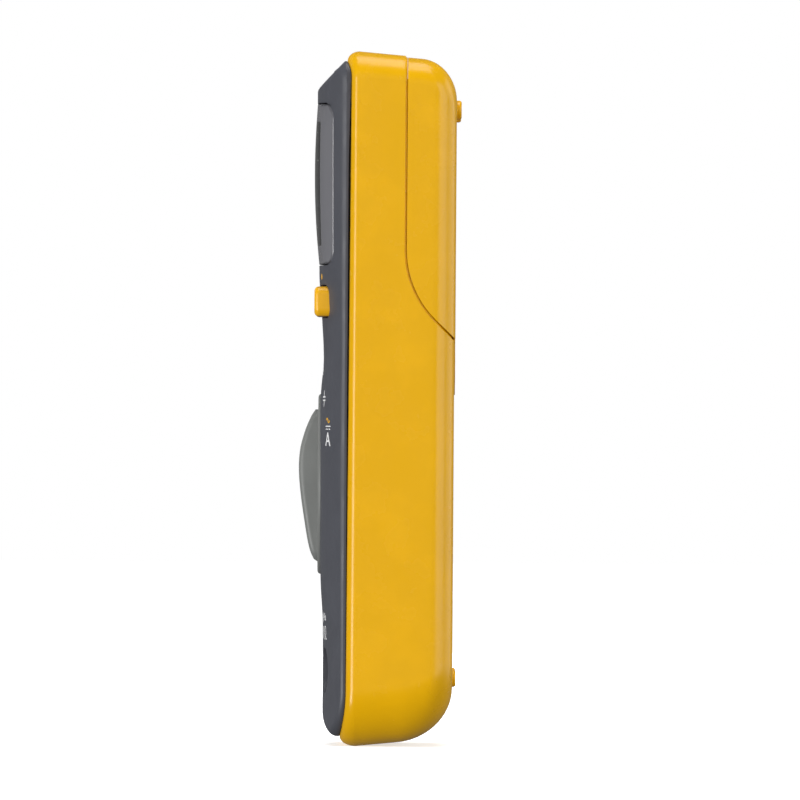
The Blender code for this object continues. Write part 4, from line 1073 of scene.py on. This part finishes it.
def wave(marks, x, z, size):
    """The alternating current sign."""
    marks.arc(x - size * 0.25, z, size * 0.25, 0, 180, 0.24, 20)
    marks.arc(x + size * 0.25, z, size * 0.25, 180, 360, 0.24, 20)


def bars(marks, x, z, size):
    """The direct current sign: a line over three dashes."""
    marks.stroke([(x - size / 2, z + 0.3), (x + size / 2, z + 0.3)], 0.22)
    for i in (-1, 0, 1):
        at = x + i * size * 0.38
        marks.stroke([(at - size * 0.06, z - 0.3), (at + size * 0.06, z - 0.3)], 0.22)


def make_dial_marks():
    white, orange = Marks(), Marks()
    white.text("OFF", *on_dial(-72.0, LABEL_R - 1.0), 2.2)
    x, z = on_dial(-54.0, LABEL_R)
    white.text("V", x - 0.6, z, 2.2)
    wave(white, x - 0.6, z + 2.2, 2.0)
    x, z = on_dial(-36.0, LABEL_R)
    white.text("V", x, z, 2.2)
    bars(white, x, z + 2.2, 2.2)
    x, z = on_dial(-18.0, LABEL_R)
    white.text("mV", x, z, 2.0)
    bars(white, x, z + 2.1, 2.2)
    wave(orange, x - 2.6, z + 2.1, 1.6)
    omega(white, *on_dial(0.0, LABEL_R - 1.0), 2.4)
    x, z = on_dial(0.0, LABEL_R - 4.3)
    for radius in (0.5, 1.0, 1.5):
        orange.arc(x - 0.7, z, radius, -40, 40, 0.24, 20)
    x, z = on_dial(18.0, LABEL_R)
    white.stroke([(x - 1.4, z), (x + 1.4, z)], 0.24)
    white.stroke([(x - 0.6, z - 0.8), (x - 0.6, z + 0.8), (x + 0.6, z), (x - 0.6, z - 0.8)], 0.24)
    white.stroke([(x + 0.7, z - 0.8), (x + 0.7, z + 0.8)], 0.24)
    x, z = on_dial(36.0, LABEL_R)
    white.text("Hz", x, z, 2.0)
    x, z = on_dial(54.0, LABEL_R + 1.1)
    white.stroke([(x, z - 1.5), (x, z - 0.35)], 0.26)
    white.stroke([(x, z + 0.35), (x, z + 1.5)], 0.26)
    white.stroke([(x - 1.0, z - 0.35), (x + 1.0, z - 0.35)], 0.3)
    white.stroke([(x - 1.0, z + 0.35), (x + 1.0, z + 0.35)], 0.3)
    x, z = on_dial(72.0, LABEL_R)
    white.text("A", x, z + 0.2, 2.9)
    bars(white, x, z + 2.7, 2.4)
    wave(orange, x, z + 4.2, 1.7)
    make_jack_marks(white, orange)
    white.lay("front_print_white", front_surface, "white_mark")
    orange.lay("front_print_orange", front_surface, "orange_key")


def make_jack_marks(white, orange):
    top = JACK_Z + WELL_R + 2.9
    white.text("COM", JACK_X["common"], top, 1.9)
    white.text("A", JACK_X["current"], top, 2.2)
    white.text("V", JACK_X["volts"] - 1.9, top, 2.7)
    omega(white, JACK_X["volts"] + 2.0, top + 0.1, 2.5)
    white.text("10", JACK_X["current"], top + 3.3, 1.7)
    white.text("Hz", JACK_X["volts"] + 2.2, top + 3.3, 1.6)
    x, z = JACK_X["volts"] - 1.9, top + 3.3
    for side in (-1, 1):
        white.stroke([(x + side * 0.3, z - 0.8), (x + side * 0.3, z + 0.8)], 0.22)
        white.stroke([(x + side * 0.3, z), (x + side * 1.3, z)], 0.22)
    for side in (-1, 1):
        middle = side * JACK_X["volts"] / 2.0
        white.stroke([(middle - 3.2, top + 2.0), (middle + 3.2, top + 2.0)], 0.2)
    high = BUTTON_Z + BUTTON_TALL / 2 + 2.0
    white.text("HOLD", BUTTON_X["button_hold"], high, 1.3)
    white.text("RANGE", BUTTON_X["button_range"], high, 1.3)
    x = BUTTON_X["button_light"]
    white.arc(x, high, 0.45, 0, 360, 0.2, 20)
    for i in range(8):
        a = math.radians(45.0 * i)
        white.stroke([(x + 0.8 * math.cos(a), high + 0.8 * math.sin(a)),
                      (x + 1.05 * math.cos(a), high + 1.05 * math.sin(a))], 0.16)
    x = BUTTON_X["button_function"]
    orange.arc(x, high, 0.35, 0, 360, 0.5, 20)


def make_reading():
    """Seven-segment figures on the display, behind the lens."""
    marks = Marks()
    wide, tall, lean, thick = 6.2, 13.0, 0.1, 1.05
    zero = [((0, 2), (1, 2)), ((1, 2), (1, 1)), ((1, 1), (1, 0)), ((0, 0), (1, 0)), ((0, 0), (0, 1)),
            ((0, 1), (0, 2))]
    low = (WINDOW_LOW + WINDOW_HIGH) / 2.0 - tall / 2.0 + 0.5
    for i in range(4):
        left = -16.2 + i * 9.3
        for (x0, z0), (x1, z1) in zero:
            run = 0.75
            ax, az, bx, bz = x0 * wide, z0 * tall / 2, x1 * wide, z1 * tall / 2
            long = math.hypot(bx - ax, bz - az)
            ux, uz = (bx - ax) / long * run, (bz - az) / long * run
            points = [(ax + ux, az + uz), (bx - ux, bz - uz)]
            marks.stroke([(left + x + z * lean, low + z) for x, z in points], thick, 30.0)
    marks.stroke([(-16.2 + 8.0, low), (-16.2 + 8.4, low)], 0.9, 30.0)
    low_mark = WINDOW_LOW + 3.0
    for i in range(34):
        x = -16.5 + i
        marks.stroke([(x, low_mark), (x, low_mark + (1.2 if i % 10 == 0 else 0.6))], 0.22, 30.0)
    marks.lay("display_reading", lambda x, z: LCD_FRONT, "black_part", sink=-0.01, stand=0.04)


# ---- Build the pieces --------------------------------------------------------------------------------
make_rear_case()
make_battery_door()
make_door_fastener()
make_front_case()
make_lens()
make_buttons()
make_knob()
make_jacks()
make_case_screws()
make_dial_marks()
make_reading()
for tool in cutters:
    bpy.data.objects.remove(tool)
for node, obj in frame["nodes"].items():
    obj.data.materials.clear()
    obj.data.materials.append(FINISH[SLOT_OF[node]])


# ---- Stage, lights and camera ------------------------------------------------------------------------
def seen_by_camera_only(obj):
    obj.visible_diffuse = False
    obj.visible_glossy = False
    obj.visible_transmission = False
    obj.visible_shadow = False


def make_stage():
    """A pale floor that fades into the backdrop further out."""
    mesh = bpy.data.meshes.new("floor")
    bm = bmesh.new()
    bmesh.ops.create_grid(bm, x_segments=4, y_segments=4, size=5.0)
    bm.to_mesh(mesh)
    bm.free()
    floor = bpy.data.objects.new("floor", mesh)
    paint = Finish("pale_floor", (0.8, 0.8, 0.8), 0.9, specular=0.0)
    far = paint.add("ShaderNodeTexGradient", gradient_type="SPHERICAL")
    paint.link(paint.place, far.inputs["Vector"])
    paint.shader.inputs["Emission Color"].default_value = (1.0, 1.0, 1.0, 1.0)
    glow = paint.spread(far.outputs["Fac"], 1.0, 0.6, 0.2, 0.85)
    paint.link(glow, paint.shader.inputs["Emission Strength"])
    mesh.materials.append(paint.material)
    bpy.context.scene.collection.objects.link(floor)
    seen_by_camera_only(floor)


def make_world(grey):
    """A white backdrop that lights the meter only as much as grey walls would."""
    world = bpy.data.worlds.new("studio")
    world.use_nodes = True
    tree = world.node_tree
    walls = tree.nodes["Background"]
    walls.inputs["Color"].default_value = (grey, grey, grey, 1.0)
    backdrop = tree.nodes.new("ShaderNodeBackground")
    backdrop.inputs["Color"].default_value = (1.0, 1.0, 1.0, 1.0)
    seen = tree.nodes.new("ShaderNodeLightPath")
    either = tree.nodes.new("ShaderNodeMixShader")
    tree.links.new(seen.outputs["Is Camera Ray"], either.inputs["Fac"])
    tree.links.new(walls.outputs["Background"], either.inputs[1])
    tree.links.new(backdrop.outputs["Background"], either.inputs[2])
    tree.links.new(either.outputs["Shader"], tree.nodes["World Output"].inputs["Surface"])
    bpy.context.scene.world = world


def softbox(name, at, wide, tall, power, glossy=True):
    """A rectangular light aimed at the middle of the meter."""
    data = bpy.data.lights.new(name, "AREA")
    data.shape = "RECTANGLE"
    data.size = wide
    data.size_y = tall
    data.energy = power
    light = bpy.data.objects.new(name, data)
    light.location = at
    light.rotation_euler = (Vector((0.0, 0.0, 0.07)) - Vector(at)).to_track_quat("-Z", "Y").to_euler()
    light.visible_camera = False
    light.visible_glossy = glossy
    light.visible_transmission = glossy
    bpy.context.scene.collection.objects.link(light)


def make_lights():
    softbox("fill_right", (1.5, 0.0, 0.35), 1.4, 1.0, 5.4, glossy=False)
    softbox("fill_left", (-1.5, 0.0, 0.5), 1.4, 1.0, 13.0, glossy=False)
    softbox("box_front", (0.85, -1.0, -0.15), 0.5, 0.7, 13.0)
    softbox("box_back", (0.75, 1.1, 0.3), 1.0, 1.0, 8.0)
    softbox("box_behind", (-0.4, 1.3, 0.3), 1.2, 1.0, 5.5)
    softbox("box_top", (0.1, 0.0, 1.4), 1.0, 1.0, 13.0)
    softbox("box_left", (-0.9, -0.9, 0.4), 0.8, 0.8, 6.0, glossy=False)


CAMERA_FAR = 4.5
VIEW_WIDE = 0.1645         # metres across the view at the meter's middle plane
CAMERA_Y = 0.00424
CAMERA_Z = 0.07084
ROLL = 0.0066              # the meter's top leans this much towards its back


def make_camera():
    data = bpy.data.cameras.new("camera")
    data.sensor_width = 36.0
    data.lens = data.sensor_width * CAMERA_FAR / VIEW_WIDE
    data.clip_start, data.clip_end = 0.1, 100.0
    camera = bpy.data.objects.new("camera", data)
    back = Vector((1.0, 0.0, 0.0))
    up = Vector((0.0, -ROLL, 1.0)).normalized()
    right = up.cross(back)
    turn = Matrix((right, up, back)).transposed().to_4x4()
    camera.matrix_world = Matrix.Translation((CAMERA_FAR, CAMERA_Y, CAMERA_Z)) @ turn
    bpy.context.scene.collection.objects.link(camera)
    bpy.context.scene.camera = camera


make_stage()
make_world(0.13)
make_lights()
make_camera()
bpy.context.scene.view_settings.view_transform = "Standard"
